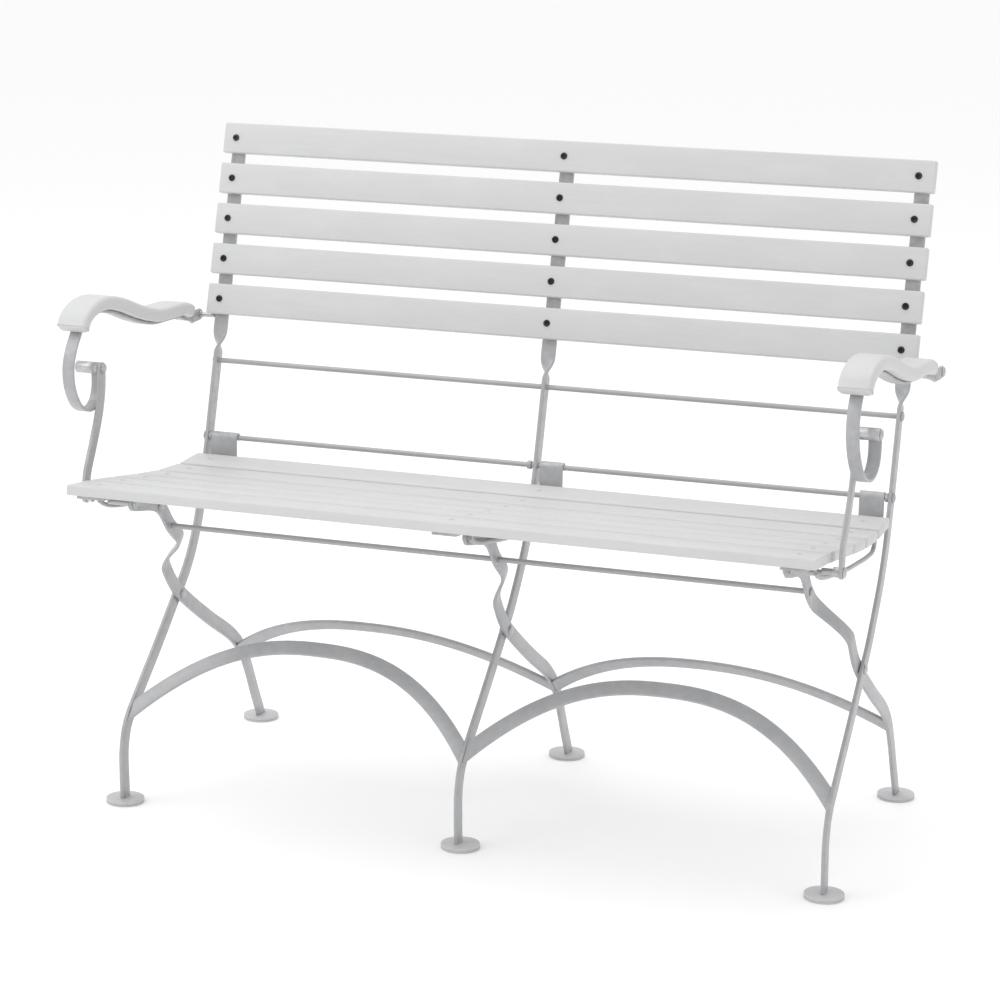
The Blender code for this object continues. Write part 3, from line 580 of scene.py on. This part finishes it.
def pin_profile(x0, x1, radius, head_radius=HEAD_RADIUS, head_height=HEAD_HEIGHT):
    """Pin from x0 to x1 with a head outside each end."""
    left = head_profile(x0, head_radius, head_height, -1)[::-1]
    return left + [(x0, radius), (x1, radius)] + head_profile(x1, head_radius, head_height, 1)


def make_turned(name, profile, centre, sign=1):
    """Turned pin or rod; sign -1 mirrors it to the left side."""
    profile = [(sign * x, radius) for x, radius in profile]
    material = BOLT if name.startswith(BOLT_NODES) else STEEL
    return make_object(name, lathe_x(bmesh.new(), profile, centre), material)


def drill(piece, holes):
    """Round holes along X through a bar; holes lists (x, side-view place, radius)."""
    mesh = bpy.data.meshes.new("holes")
    bm = bmesh.new()
    for x, centre, radius in holes:
        lathe_x(bm, [(x - HOLE_REACH, radius), (x + HOLE_REACH, radius)], centre)
    bmesh.ops.recalc_face_normals(bm, faces=bm.faces)
    bm.to_mesh(mesh)
    bm.free()
    cutter = bpy.data.objects.new("holes", mesh)
    bpy.context.scene.collection.objects.link(cutter)
    cut = piece.modifiers.new("holes", "BOOLEAN")
    cut.operation = "DIFFERENCE"
    cut.object = cutter
    cut.solver = "EXACT"
    bpy.context.view_layer.update()
    evaluated = piece.evaluated_get(bpy.context.evaluated_depsgraph_get())
    drilled = bpy.data.meshes.new_from_object(evaluated)
    piece.modifiers.clear()
    piece.data = drilled
    drilled.set_sharp_from_angle(angle=math.radians(SHARP_ANGLE))
    bpy.data.objects.remove(cutter)


def make_slat(name, length, width, centre, lean):
    """Plank along X; lean turns its width from +Y towards +Z."""
    bm = bmesh.new()
    bmesh.ops.create_cube(bm, size=1.0)
    bmesh.ops.scale(bm, verts=bm.verts, vec=(length, width, SLAT_THICK))
    bmesh.ops.bevel(bm, geom=bm.edges[:], offset=SLAT_ROUND, segments=4, profile=0.5,
                    affect="EDGES")
    cos = math.cos(lean)
    sin = math.sin(lean)
    for vert in bm.verts:
        x, y, z = vert.co
        vert.co = Vector((x, centre[0] + y * cos - z * sin, centre[1] + y * sin + z * cos))
    make_object(name, bm, WOOD_ALONG_X)


def make_foot(name, x, y):
    """Round pad under a leg: rolled edges and a groove round the rim."""
    edge = FOOT_EDGE
    low, high = FOOT_GROOVE
    inner = FOOT_RADIUS - FOOT_GROOVE_DEPTH
    outline = [(0.0, FOOT_RADIUS - 2 * edge)]
    for degrees in (-60, -30, 0):
        angle = math.radians(degrees)
        outline.append((edge + edge * math.sin(angle),
                        FOOT_RADIUS - edge + edge * math.cos(angle)))
    outline += [(low - FOOT_GROOVE_RUN, FOOT_RADIUS), (low, inner), (high, inner),
                (high + FOOT_GROOVE_RUN, FOOT_RADIUS)]
    for degrees in (0, 30, 60, 90):
        angle = math.radians(degrees)
        outline.append((FOOT_THICK - edge + edge * math.sin(angle),
                        FOOT_RADIUS - edge + edge * math.cos(angle)))
    rings = []
    for z, radius in outline:
        ring = []
        for i in range(FOOT_SEGMENTS):
            angle = 2 * math.pi * i / FOOT_SEGMENTS
            ring.append(Vector((x + radius * math.cos(angle), y + radius * math.sin(angle), z)))
        rings.append(ring)
    # The pads take the lighter copy of the steel paint, which is painted light on their tops.
    make_object(name, skin_rings(bmesh.new(), rings), LIT_FOOT_STEEL, 30)


# --- arches between the legs -------------------------------------------------------------------
def arch_edge(span, arch, offset):
    """One edge of an arch at an offset from its middle line, cut at plus and minus span."""
    rise = arch["rise"]
    power = arch["power"]

    def point(u):
        height = rise * (1 - abs(u) ** power)
        slope = -math.copysign(power * rise * abs(u) ** (power - 1), u) / span
        length = math.hypot(1, slope)
        return Vector((span * u - offset * slope / length, height + offset / length))

    low = 0.5
    high = 1.4
    for _ in range(30):
        middle = (low + high) / 2
        if point(middle).x < span:
            low = middle
        else:
            high = middle
    steps = ARCH_STEPS
    return [point(low * math.sin(math.pi / 2 * (2 * i / steps - 1))) for i in range(steps + 1)]


def make_arch(name, x0, x1, arch):
    """Flat bar on edge, arched between two legs and cut to their side faces."""
    span = (x1 - x0) / 2 - GAP
    tilt = arch["tilt"]
    up = Vector((0, math.cos(tilt), math.sin(tilt)))
    normal = Vector((0, -math.sin(tilt), math.cos(tilt)))
    base = Vector(((x0 + x1) / 2, arch["base"][0], arch["base"][1]))
    rings = []
    for a, b in zip(arch_edge(span, arch, -BAR_WIDTH / 2),
                    arch_edge(span, arch, BAR_WIDTH / 2)):
        low = base + X_AXIS * a.x + up * a.y
        high = base + X_AXIS * b.x + up * b.y
        across = (high - low).normalized()
        rings.append(bar_ring((low + high) / 2, across, normal, (high - low).length, BAR_THICK))
    make_object(name, skin_rings(bmesh.new(), rings), STEEL)


# --- back frame --------------------------------------------------------------------------------
def upright_y(z):
    """Middle of the straight part of the uprights."""
    return BACK_BASE[0] + math.tan(BACK_LEAN) * (z - BACK_BASE[1])


def upright_x(sign, z):
    """The uprights bend a little sideways between the scissor pins and the seat."""
    share = ease((z - FLARE_LOW_Z) / (FLARE_HIGH_Z - FLARE_LOW_Z))
    low = MIDDLE_UPRIGHT_X if sign == 0 else sign * UPRIGHT_X
    return low + (sign * UPRIGHT_TOP_X - low) * share


def make_upright(name, sign):
    """One bar from the front foot to the top, turned a quarter above the seat."""
    curve = smooth_curve(UPRIGHT_CURVE)
    turns = 20
    twist = TWIST_HIGH_Z - TWIST_LOW_Z
    heights = [TWIST_LOW_Z + twist * i / turns for i in range(turns + 1)] + [UPRIGHT_TOP_Z]
    curve += [Vector((upright_y(z), z)) for z in heights]
    along = tangents(curve)
    rings = []
    for point, direction in zip(curve, along):
        turn = math.pi / 2 * ease((point.y - TWIST_LOW_Z) / twist)
        centre, edge = in_space(upright_x(sign, point.y), point, direction)
        across = edge * math.cos(turn) + X_AXIS * math.sin(turn)
        through = X_AXIS * math.cos(turn) - edge * math.sin(turn)
        rings.append(bar_ring(centre, across, through, BAR_WIDTH, BAR_THICK))
    rings[0] = level_ring(rings[0], along[0], FOOT_THICK + GAP)
    upright = make_object(name, skin_rings(bmesh.new(), rings), STEEL)
    top = sign * UPRIGHT_TOP_X
    drill(upright, ((top, HINGE, ROD_RADIUS + GAP), (top, tie_rod_place(), ROD_RADIUS + GAP),
                    (upright_x(sign, SCISSOR[1]), SCISSOR, PIN_RADIUS + GAP)))


def tie_rod_place():
    return (upright_y(TIE_ROD_Z), TIE_ROD_Z)


def make_back_slats():
    """Slats stand on the front faces of the uprights."""
    off = ((BAR_THICK + SLAT_THICK) / 2 + GAP) / math.cos(BACK_LEAN)
    for i in range(BACK_SLAT_COUNT):
        step = (BACK_SLAT_COUNT - 1 - i) * BACK_SLAT_PITCH
        z = BACK_SLAT_LOW_Z + step * math.cos(BACK_LEAN)
        make_slat(f"back_slat_{i + 1}", BACK_SLAT_LENGTH, BACK_SLAT_HEIGHT,
                  (upright_y(z) - off, z), math.pi / 2 - BACK_LEAN)


def make_arm_pin(name, sign, rear_x):
    """Rod that holds the rear end of an arm out from the upright's edge, with a collar."""
    root = UPRIGHT_TOP_X + BAR_WIDTH / 2 + GAP
    inner = abs(rear_x) - ARM_STRIP_THICK / 2 - GAP
    outer = abs(rear_x) + ARM_STRIP_THICK / 2 + GAP
    collar = inner - ARM_COLLAR_LENGTH
    profile = [(root, ARM_PIN_RADIUS), (collar, ARM_PIN_RADIUS), (collar, ARM_COLLAR_RADIUS),
               (inner, ARM_COLLAR_RADIUS), (inner, ARM_PIN_RADIUS), (outer, ARM_PIN_RADIUS)]
    make_turned(name, profile + head_profile(outer), ARM_PIVOT, sign=sign)


def make_back_frame():
    for side, sign in (("left", -1), ("middle", 0), ("right", 1)):
        make_upright(f"upright_{side}", sign)
        make_foot(f"front_foot_{side}", sign * UPRIGHT_X, UPRIGHT_CURVE[0][0])
    face = UPRIGHT_X - BAR_THICK / 2
    make_arch("front_arch_left", -face, MIDDLE_UPRIGHT_X - BAR_THICK / 2, FRONT_ARCH)
    make_arch("front_arch_right", MIDDLE_UPRIGHT_X + BAR_THICK / 2, face, FRONT_ARCH)
    make_back_slats()
    end = UPRIGHT_TOP_X + BAR_THICK / 2 + GAP
    make_turned("tie_rod", pin_profile(-end, end, ROD_RADIUS), tie_rod_place())
    make_turned("hinge_rod", pin_profile(-end, end, ROD_RADIUS), HINGE)
    for side, arm in ARM_SIDES.items():
        make_arm_pin(f"arm_pivot_pin_{side}", arm["sign"], arm["rear_x"])


# --- rear frame --------------------------------------------------------------------------------
def rear_leg_x(sign, z):
    """The rear legs crank sideways between the scissor pin and the stretcher."""
    share = ease((z - CRANK_LOW_Z) / (CRANK_HIGH_Z - CRANK_LOW_Z))
    if sign == 0:
        return MIDDLE_LEG_X + (MIDDLE_LEG_TOP_X - MIDDLE_LEG_X) * share
    return sign * (REAR_LEG_X + (REAR_LEG_TOP_X - REAR_LEG_X) * share)


def make_rear_leg(name, sign):
    curve = smooth_curve(REAR_LEG_CURVE)
    rings = edge_bar(lambda p: rear_leg_x(sign, p.y), curve, BAR_WIDTH, BAR_THICK)
    rings[0] = level_ring(rings[0], tangents(curve)[0], FOOT_THICK + GAP)
    leg = make_object(name, skin_rings(bmesh.new(), rings), STEEL)
    low = rear_leg_x(sign, SCISSOR[1])
    top = rear_leg_x(sign, FRONT_PIN[1])
    drill(leg, ((low, SCISSOR, PIN_RADIUS + GAP), (top, STRETCHER, ROD_RADIUS + GAP),
                (top, SLIDE_PIN, PIN_RADIUS + GAP), (top, FRONT_PIN, PIN_RADIUS + GAP)))


def make_slide_pins(side, leg_x, guide_x):
    """Two pins at the top of a rear leg; they stop short of the guide rod beside them."""
    out = -1 if side == "left" else 1
    face = BAR_THICK / 2 + GAP
    far = guide_x - GUIDE_RADIUS - abs(leg_x) - PIN_STOP
    for kind, place in (("slide", SLIDE_PIN), ("front", FRONT_PIN)):
        profile = [(-x, radius) for x, radius in head_profile(face)[::-1]]
        profile += [(-face, PIN_RADIUS), (far, PIN_RADIUS)]
        profile = [(leg_x + out * x, radius) for x, radius in profile]
        make_turned(f"{kind}_pin_{side}", profile, place)


def make_rear_frame():
    foot_y = REAR_LEG_CURVE[0][0] + REAR_FOOT_OFF
    for side, sign, guide_x in (("left", -1, GUIDE_X), ("middle", 0, MIDDLE_GUIDE_X),
                                ("right", 1, GUIDE_X)):
        make_rear_leg(f"rear_leg_{side}", sign)
        make_foot(f"rear_foot_{side}", sign * REAR_LEG_X, foot_y)
        make_slide_pins(side, rear_leg_x(sign, FRONT_PIN[1]), guide_x)
    face = REAR_LEG_X - BAR_THICK / 2
    make_arch("rear_arch_left", -face, MIDDLE_LEG_X - BAR_THICK / 2, REAR_ARCH)
    make_arch("rear_arch_right", MIDDLE_LEG_X + BAR_THICK / 2, face, REAR_ARCH)
    end = REAR_LEG_TOP_X + BAR_THICK / 2 + GAP
    make_turned("stretcher_rod", pin_profile(-end, end, ROD_RADIUS, *STRETCHER_HEAD), STRETCHER)


def make_scissor_pins():
    """Bolts through both frames where they cross."""
    half = BAR_THICK / 2 + GAP
    for side, x0, x1 in (("left", -UPRIGHT_X, -REAR_LEG_X),
                         ("middle", MIDDLE_UPRIGHT_X, MIDDLE_LEG_X),
                         ("right", REAR_LEG_X, UPRIGHT_X)):
        make_turned(f"scissor_pin_{side}", pin_profile(x0 - half, x1 + half, PIN_RADIUS),
                    SCISSOR)


# --- seat --------------------------------------------------------------------------------------
def seat_slat_places():
    """Middle of each slat's top and its slope, spaced evenly along the seat's curve."""
    curve = smooth_curve(SEAT_TOP_CURVE, SEAT_CURVE_STEPS)
    lengths = [0.0]
    for a, b in zip(curve, curve[1:]):
        lengths.append(lengths[-1] + (b - a).length)
    pitch = (lengths[-1] - SEAT_SLAT_WIDTH) / (SEAT_SLAT_COUNT - 1)

    def at(distance):
        for i, (a, b) in enumerate(zip(curve, curve[1:])):
            if distance <= lengths[i + 1]:
                return a.lerp(b, (distance - lengths[i]) / (lengths[i + 1] - lengths[i]))
        return curve[-1]

    places = []
    for i in range(SEAT_SLAT_COUNT):
        start = at(i * pitch)
        end = at(i * pitch + SEAT_SLAT_WIDTH)
        along = (end - start).normalized()
        places.append(((start + end) / 2, math.atan2(along.y, along.x)))
    return places


def make_seat_slats():
    for i, (top, slope) in enumerate(seat_slat_places()):
        centre = (top.x + SLAT_THICK / 2 * math.sin(slope),
                  top.y - SLAT_THICK / 2 * math.cos(slope))
        make_slat(f"seat_slat_{i + 1}", SEAT_SLAT_LENGTH, SEAT_SLAT_WIDTH, centre, slope)


def strip_curve():
    """Middle line of a seat strip: under the slats, up to the hinge rod and round it."""
    depth = SLAT_THICK + STRIP_THICK / 2 + GAP + STRIP_PLAY
    reach = SEAT_SLAT_WIDTH / 2 - STRIP_END_INSET
    under = []
    for top, slope in seat_slat_places():
        along = Vector((math.cos(slope), math.sin(slope)))
        below = top - Vector((-along.y, along.x)) * depth
        under += [below - along * reach, below + along * reach]
    corner_y = HINGE[0] - EYE_RADIUS - STRIP_BEND
    corner = arc_points((corner_y, under[-1].y + STRIP_BEND + STRIP_PLAY), STRIP_BEND, -80, 0, 3)
    eye = arc_points(HINGE, EYE_RADIUS, 180, -50, 8)
    return smooth_curve(under, 2) + corner + eye


def make_guide(name, x):
    """Round rod under a strip's edge; the two bound the slot for the slide pins."""
    curve = smooth_curve(GUIDE_CURVE)
    rings = []
    for point, along in zip(curve, tangents(curve)):
        centre, up = in_space(x, point, along)
        ring = []
        for i in range(GUIDE_SEGMENTS):
            angle = 2 * math.pi * i / GUIDE_SEGMENTS
            ring.append(centre + (X_AXIS * math.cos(angle) + up * math.sin(angle)) * GUIDE_RADIUS)
        rings.append(ring)
    make_object(name, skin_rings(bmesh.new(), rings), STEEL, 60)


def make_seat():
    make_seat_slats()
    for side, x, width in SEAT_STRIPS:
        rings = flat_strip(x, strip_curve(), width, STRIP_THICK)
        make_object(f"seat_strip_{side}", skin_rings(bmesh.new(), rings), STEEL)
        make_guide(f"guide_rod_{side}", GUIDE_PLACES[side])
    for side, sign in SIDES:
        make_strut_bolt(f"strut_bolt_{side}", sign)


def make_strut_bolt(name, sign):
    """Bolt that the foot of a strut turns on, with the spacer that holds it off the seat."""
    inner = STRUT_X - BAR_THICK / 2 - GAP
    outer = STRUT_X + BAR_THICK / 2 + GAP
    spacer = SEAT_SLAT_LENGTH / 2 + SPACER_PLAY
    profile = [(GUIDE_X + GUIDE_RADIUS + GAP, PIN_RADIUS), (spacer, PIN_RADIUS),
               (spacer, SLEEVE_RADIUS), (inner, SLEEVE_RADIUS), (inner, PIN_RADIUS),
               (outer, PIN_RADIUS)]
    make_turned(name, profile + head_profile(outer), STRUT_FOOT, sign)


# --- arms and struts ---------------------------------------------------------------------------
def board_x(sign, y):
    """Centre plane of an arm board at a depth."""
    return sign * (ARM_FRONT_X + ARM_SPLAY * (y - ARM_FRONT_Y))


def board_ring(sign, point, along, share):
    """Section of an arm board: a rectangle with round corners, thinner by share at the ends."""
    centre, up = in_space(board_x(sign, point.x), point, along)
    w = ARM_WIDTH / 2 - ARM_ROUND
    t = ARM_THICK / 2 - ARM_ROUND
    ring = []
    for corner_w, corner_t, start in ((w, t, 0), (-w, t, 90), (-w, -t, 180), (w, -t, 270)):
        for degrees in (0, 18, 36, 54, 72, 90):
            angle = math.radians(start + degrees)
            a = corner_w + ARM_ROUND * math.cos(angle)
            a *= BOARD_END_WIDTH + (1 - BOARD_END_WIDTH) * share
            b = (corner_t + ARM_ROUND * math.sin(angle)) * share
            ring.append(centre + X_AXIS * a + up * b)
    return ring


def make_board(name, sign):
    """Wavy arm board with rounded edges and a drooping front end."""
    middle = shifted(smooth_curve(ARM_TOP_CURVE), ARM_THICK / 2)
    along = tangents(middle)
    rings = [board_ring(sign, middle[0] + along[0] * inset, along[0], share)
             for inset, share in BOARD_END]
    rings += [board_ring(sign, p, a, 1.0) for p, a in zip(middle[1:-1], along[1:-1])]
    rings += [board_ring(sign, middle[-1] - along[-1] * inset, along[-1], share)
              for inset, share in BOARD_END[::-1]]
    make_object(name, skin_rings(bmesh.new(), rings), WOOD_ALONG_Y, 60)


def arm_strip_line(arm):
    """Middle line of the strip as (side-view point, x): rear end, under the board, scroll."""
    under = shifted(smooth_curve(ARM_TOP_CURVE), ARM_THICK + ARM_STRIP_THICK / 2 + 2 * GAP)
    under = under[::-1]
    rear = smooth_curve([*STRIP_REAR_CURVE, under[0]])[:-1]
    scroll = smooth_curve([under[-1], *SCROLL_CURVE])[1:]
    start_x = board_x(arm["sign"], under[0].x)
    front_x = board_x(arm["sign"], under[-1].x)
    start_y = ARM_PIVOT[0] - ARM_STRIP_WIDTH / 2
    line = []
    for p in rear:
        share = ease((start_y - p.x) / (start_y - under[0].x))
        line.append((p, arm["rear_x"] + (start_x - arm["rear_x"]) * share))
    line += [(p, board_x(arm["sign"], p.x)) for p in under]
    drift = len(scroll) - 4                 # points until the scroll's own plane is reached
    for i, p in enumerate(scroll):
        share = ease((i + 1) / drift)
        line.append((p, front_x + (arm["scroll_x"] - front_x) * share))
    return line


def make_arm_strip(name, arm):
    """Strip with its rear end on edge and round, turned a quarter in front of the pin."""
    line = arm_strip_line(arm)
    points = [p for p, _ in line]
    along = tangents(points)
    rings = []
    for point, direction, wide in round_end(points[0], -along[0], ARM_STRIP_WIDTH)[::-1]:
        centre, up = in_space(line[0][1], point, direction)
        rings.append(bar_ring(centre, -up, -X_AXIS, wide, ARM_STRIP_THICK, STRIP_ROUND))
    for (point, x), direction in zip(line, along):
        depth = (point.x - STRIP_TURN_LOW_Y) / (STRIP_TURN_HIGH_Y - STRIP_TURN_LOW_Y)
        turn = math.pi / 2 * ease(depth)
        centre, up = in_space(x, point, direction)
        across = X_AXIS * math.cos(turn) + up * math.sin(turn)
        through = up * math.cos(turn) - X_AXIS * math.sin(turn)
        rings.append(bar_ring(centre, across, through, ARM_STRIP_WIDTH, ARM_STRIP_THICK,
                              STRIP_ROUND))
    strip = make_object(name, skin_rings(bmesh.new(), rings), STEEL)
    drill(strip, ((arm["rear_x"], ARM_PIVOT, ARM_PIN_RADIUS + GAP),))


def make_barrel(name, x0, x1):
    """Tube on the scroll's end that the top of the strut is bolted to."""
    bore = PIN_RADIUS + GAP
    edge = BARREL_EDGE
    profile = ((x0, bore), (x0, BARREL_RADIUS - edge), (x0 + edge, BARREL_RADIUS),
               (x1 - edge, BARREL_RADIUS), (x1, BARREL_RADIUS - edge), (x1, bore))
    count = LATHE_SEGMENTS
    bm = bmesh.new()
    loops = []
    for x, radius in profile:
        loop = []
        for i in range(count):
            angle = 2 * math.pi * i / count
            loop.append(bm.verts.new((x, ARM_BARREL[0] + radius * math.cos(angle),
                                      ARM_BARREL[1] + radius * math.sin(angle))))
        loops.append(loop)
    for first, second in zip(loops, loops[1:] + loops[:1]):
        for i in range(count):
            j = (i + 1) % count
            bm.faces.new((first[i], first[j], second[j], second[i]))
    make_object(name, bm, BOLT)


def make_arm_bolt(name, x0, x1):
    """Bolt through tube and strut: riveted end at -X, domed head at +X."""
    profile = head_profile(x0 - GAP, RIVET_RADIUS, RIVET_HEIGHT, -1)[::-1]
    profile += [(x0 - GAP, PIN_RADIUS), (x1 + GAP, PIN_RADIUS)] + head_profile(x1 + GAP)
    make_turned(name, profile, ARM_BARREL)


def make_strut(name, x):
    """Gently bent bar from the seat to the arm's barrel, round at both ends."""
    rings = edge_bar(lambda p: x, smooth_curve(STRUT_CURVE), STRUT_WIDTH, BAR_THICK,
                     round_start=True)
    strut = make_object(name, skin_rings(bmesh.new(), rings), STEEL)
    drill(strut, ((x, STRUT_FOOT, PIN_RADIUS + GAP), (x, ARM_BARREL, PIN_RADIUS + GAP)))


def make_arm(side, arm):
    make_board(f"arm_board_{side}", arm["sign"])
    make_arm_strip(f"arm_strip_{side}", arm)
    make_barrel(f"arm_barrel_{side}", arm["tube"][0], arm["tube"][1])
    make_arm_bolt(f"arm_bolt_{side}", arm["bolt"][0], arm["bolt"][1])
    make_strut(f"arm_strut_{side}", arm["sign"] * STRUT_X)


# --- screws ------------------------------------------------------------------------------------
def hexagon(angle, width):
    """Distance from the middle of a hexagon to its edge."""
    step = math.pi / 3
    return width / 2 / math.cos((angle + step / 2) % step - step / 2)


def make_screw(name, centre, normal, material, body, radius, height, turn):
    """Button head with a hexagon socket at the angle turn; centre is on the slat's face."""
    side = normal.cross(X_AXIS).normalized()
    bm = bmesh.new()
    rings = []

    def ring(level, distance):
        points = []
        for i in range(SCREW_SEGMENTS):
            angle = 2 * math.pi * i / SCREW_SEGMENTS
            reach = distance(angle)
            points.append(centre + normal * level
                          + X_AXIS * (reach * math.cos(angle + turn))
                          + side * (reach * math.sin(angle + turn)))
        rings.append(points)

    ring(-SCREW_SINK, lambda angle: radius * 0.97)
    ring(height * 0.12, lambda angle: radius)
    for i in range(1, 7):
        rise = math.radians(12.5 * i)
        ring(height * (0.12 + 0.88 * math.sin(rise) / math.sin(math.radians(75))),
             lambda angle: radius * (0.62 + 0.38 * math.cos(rise)) * math.cos(rise * 0.25))
    socket = radius * 0.92
    ring(height, lambda angle: hexagon(angle, socket) * 1.08)
    ring(height * 0.93, lambda angle: hexagon(angle, socket))
    ring(height * 0.15, lambda angle: hexagon(angle, socket))
    ring(height * 0.02, lambda angle: hexagon(angle, socket) * 0.5)
    make_piece(name, skin_rings(bm, rings), material, body, 40)


def make_back_screws():
    normal = Vector((0, -math.cos(BACK_LEAN), math.sin(BACK_LEAN)))
    for i in range(BACK_SLAT_COUNT):
        low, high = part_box(f"back_slat_{i + 1}")
        face = (low + high) / 2 + normal * (SLAT_THICK / 2)
        for k, (side, x) in enumerate(BACK_SCREWS):
            centre = Vector((x, face.y, face.z))
            make_screw(f"back_screw_{i + 1}_{side}", centre, normal, BLACK_SCREW, "back_frame",
                       BACK_SCREW_RADIUS, BACK_SCREW_HEIGHT, 0.9 * i + 0.5 * k)


def make_seat_screws():
    for i, (top, slope) in enumerate(seat_slat_places()):
        normal = Vector((0, -math.sin(slope), math.cos(slope)))
        for side, x, _ in SEAT_STRIPS:
            make_screw(f"seat_screw_{i + 1}_{side}", Vector((x, top.x, top.y)), normal,
                       WOOD_ALONG_X, "seat", SEAT_SCREW_RADIUS, SEAT_SCREW_HEIGHT, 0.7 * i)


def make_hinge_collars():
    """Spacers on the hinge rod beside the uprights."""
    radius = ROD_COLLAR_RADIUS
    edge = ROD_COLLAR_EDGE
    half = BAR_THICK / 2 + GAP
    right_edge = SEAT_STRIPS[2][1] + SEAT_STRIPS[2][2] / 2 + GAP
    for name, start, end in (
            ("left", half - UPRIGHT_TOP_X, half + LEFT_COLLAR_LENGTH - UPRIGHT_TOP_X),
            ("middle", MIDDLE_UPRIGHT_X + half, MIDDLE_UPRIGHT_X + half + MIDDLE_COLLAR_LENGTH),
            ("middle_outer", MIDDLE_UPRIGHT_X - half - OUTER_COLLAR_LENGTH,
             MIDDLE_UPRIGHT_X - half),
            ("right", right_edge, UPRIGHT_TOP_X - half)):
        profile = [(start, ROD_RADIUS), (start, radius - edge), (start + edge, radius),
                   (end - edge, radius), (end, radius - edge), (end, ROD_RADIUS)]
        make_piece(f"hinge_collar_{name}", lathe_x(bmesh.new(), profile, HINGE), STEEL,
                   "back_frame", SHARP_ANGLE)


# --- stage -------------------------------------------------------------------------------------
def make_camera():
    azimuth = math.radians(CAMERA_AZIMUTH)
    elevation = math.radians(CAMERA_ELEVATION)
    roll = math.radians(CAMERA_ROLL)
    view = Vector((-math.sin(azimuth) * math.cos(elevation),
                   math.cos(azimuth) * math.cos(elevation), -math.sin(elevation)))
    right = view.cross(Vector((0, 0, 1))).normalized()
    up = right.cross(view)
    tilted_right = math.cos(roll) * right + math.sin(roll) * up
    tilted_up = -math.sin(roll) * right + math.cos(roll) * up
    place = Matrix((tilted_right, tilted_up, -view)).transposed().to_4x4()
    place.translation = CAMERA_PLACE
    lens = bpy.data.cameras.new("camera")
    lens.lens = CAMERA_LENS
    lens.sensor_width = 36
    lens.clip_end = 200
    camera = bpy.data.objects.new("camera", lens)
    camera.matrix_world = place
    bpy.context.scene.collection.objects.link(camera)
    bpy.context.scene.camera = camera


def make_floor():
    bm = bmesh.new()
    bmesh.ops.create_grid(bm, x_segments=1, y_segments=1, size=FLOOR_SIZE)
    mesh = bpy.data.meshes.new("floor")
    bm.to_mesh(mesh)
    bm.free()
    material, _, _ = new_tree("floor", {"Base Color": FLOOR_COLOUR, "Roughness": 0.9,
                                        "Specular IOR Level": 0.1,
                                        "Emission Color": FLOOR_COLOUR,
                                        "Emission Strength": FLOOR_GLOW})
    mesh.materials.append(material)
    floor = bpy.data.objects.new("floor", mesh)
    bpy.context.scene.collection.objects.link(floor)


def make_area_light(name, place, aim, size, power):
    light = bpy.data.lights.new(name, "AREA")
    light.shape = "SQUARE"
    light.size = size
    light.energy = power
    lamp = bpy.data.objects.new(name, light)
    lamp.location = place
    lamp.rotation_euler = (Vector(aim) - Vector(place)).to_track_quat("-Z", "Y").to_euler()
    bpy.context.scene.collection.objects.link(lamp)


def make_light():
    world = bpy.data.worlds.new("studio")
    bpy.context.scene.world = world
    world.use_nodes = True
    background = world.node_tree.nodes["Background"]
    background.inputs["Color"].default_value = (1.0, 1.0, 1.0, 1.0)
    background.inputs["Strength"].default_value = WORLD_STRENGTH
    for name, place, aim, size, power in LIGHTS:
        make_area_light(name, place, aim, size, power)
    bpy.context.scene.view_settings.view_transform = "Standard"


make_camera()
make_floor()
make_light()
make_back_frame()
make_scissor_pins()
make_rear_frame()
make_seat()
for arm_side, arm_data in ARM_SIDES.items():
    make_arm(arm_side, arm_data)
make_back_screws()
make_seat_screws()
make_hinge_collars()

bpy.context.view_layer.update()
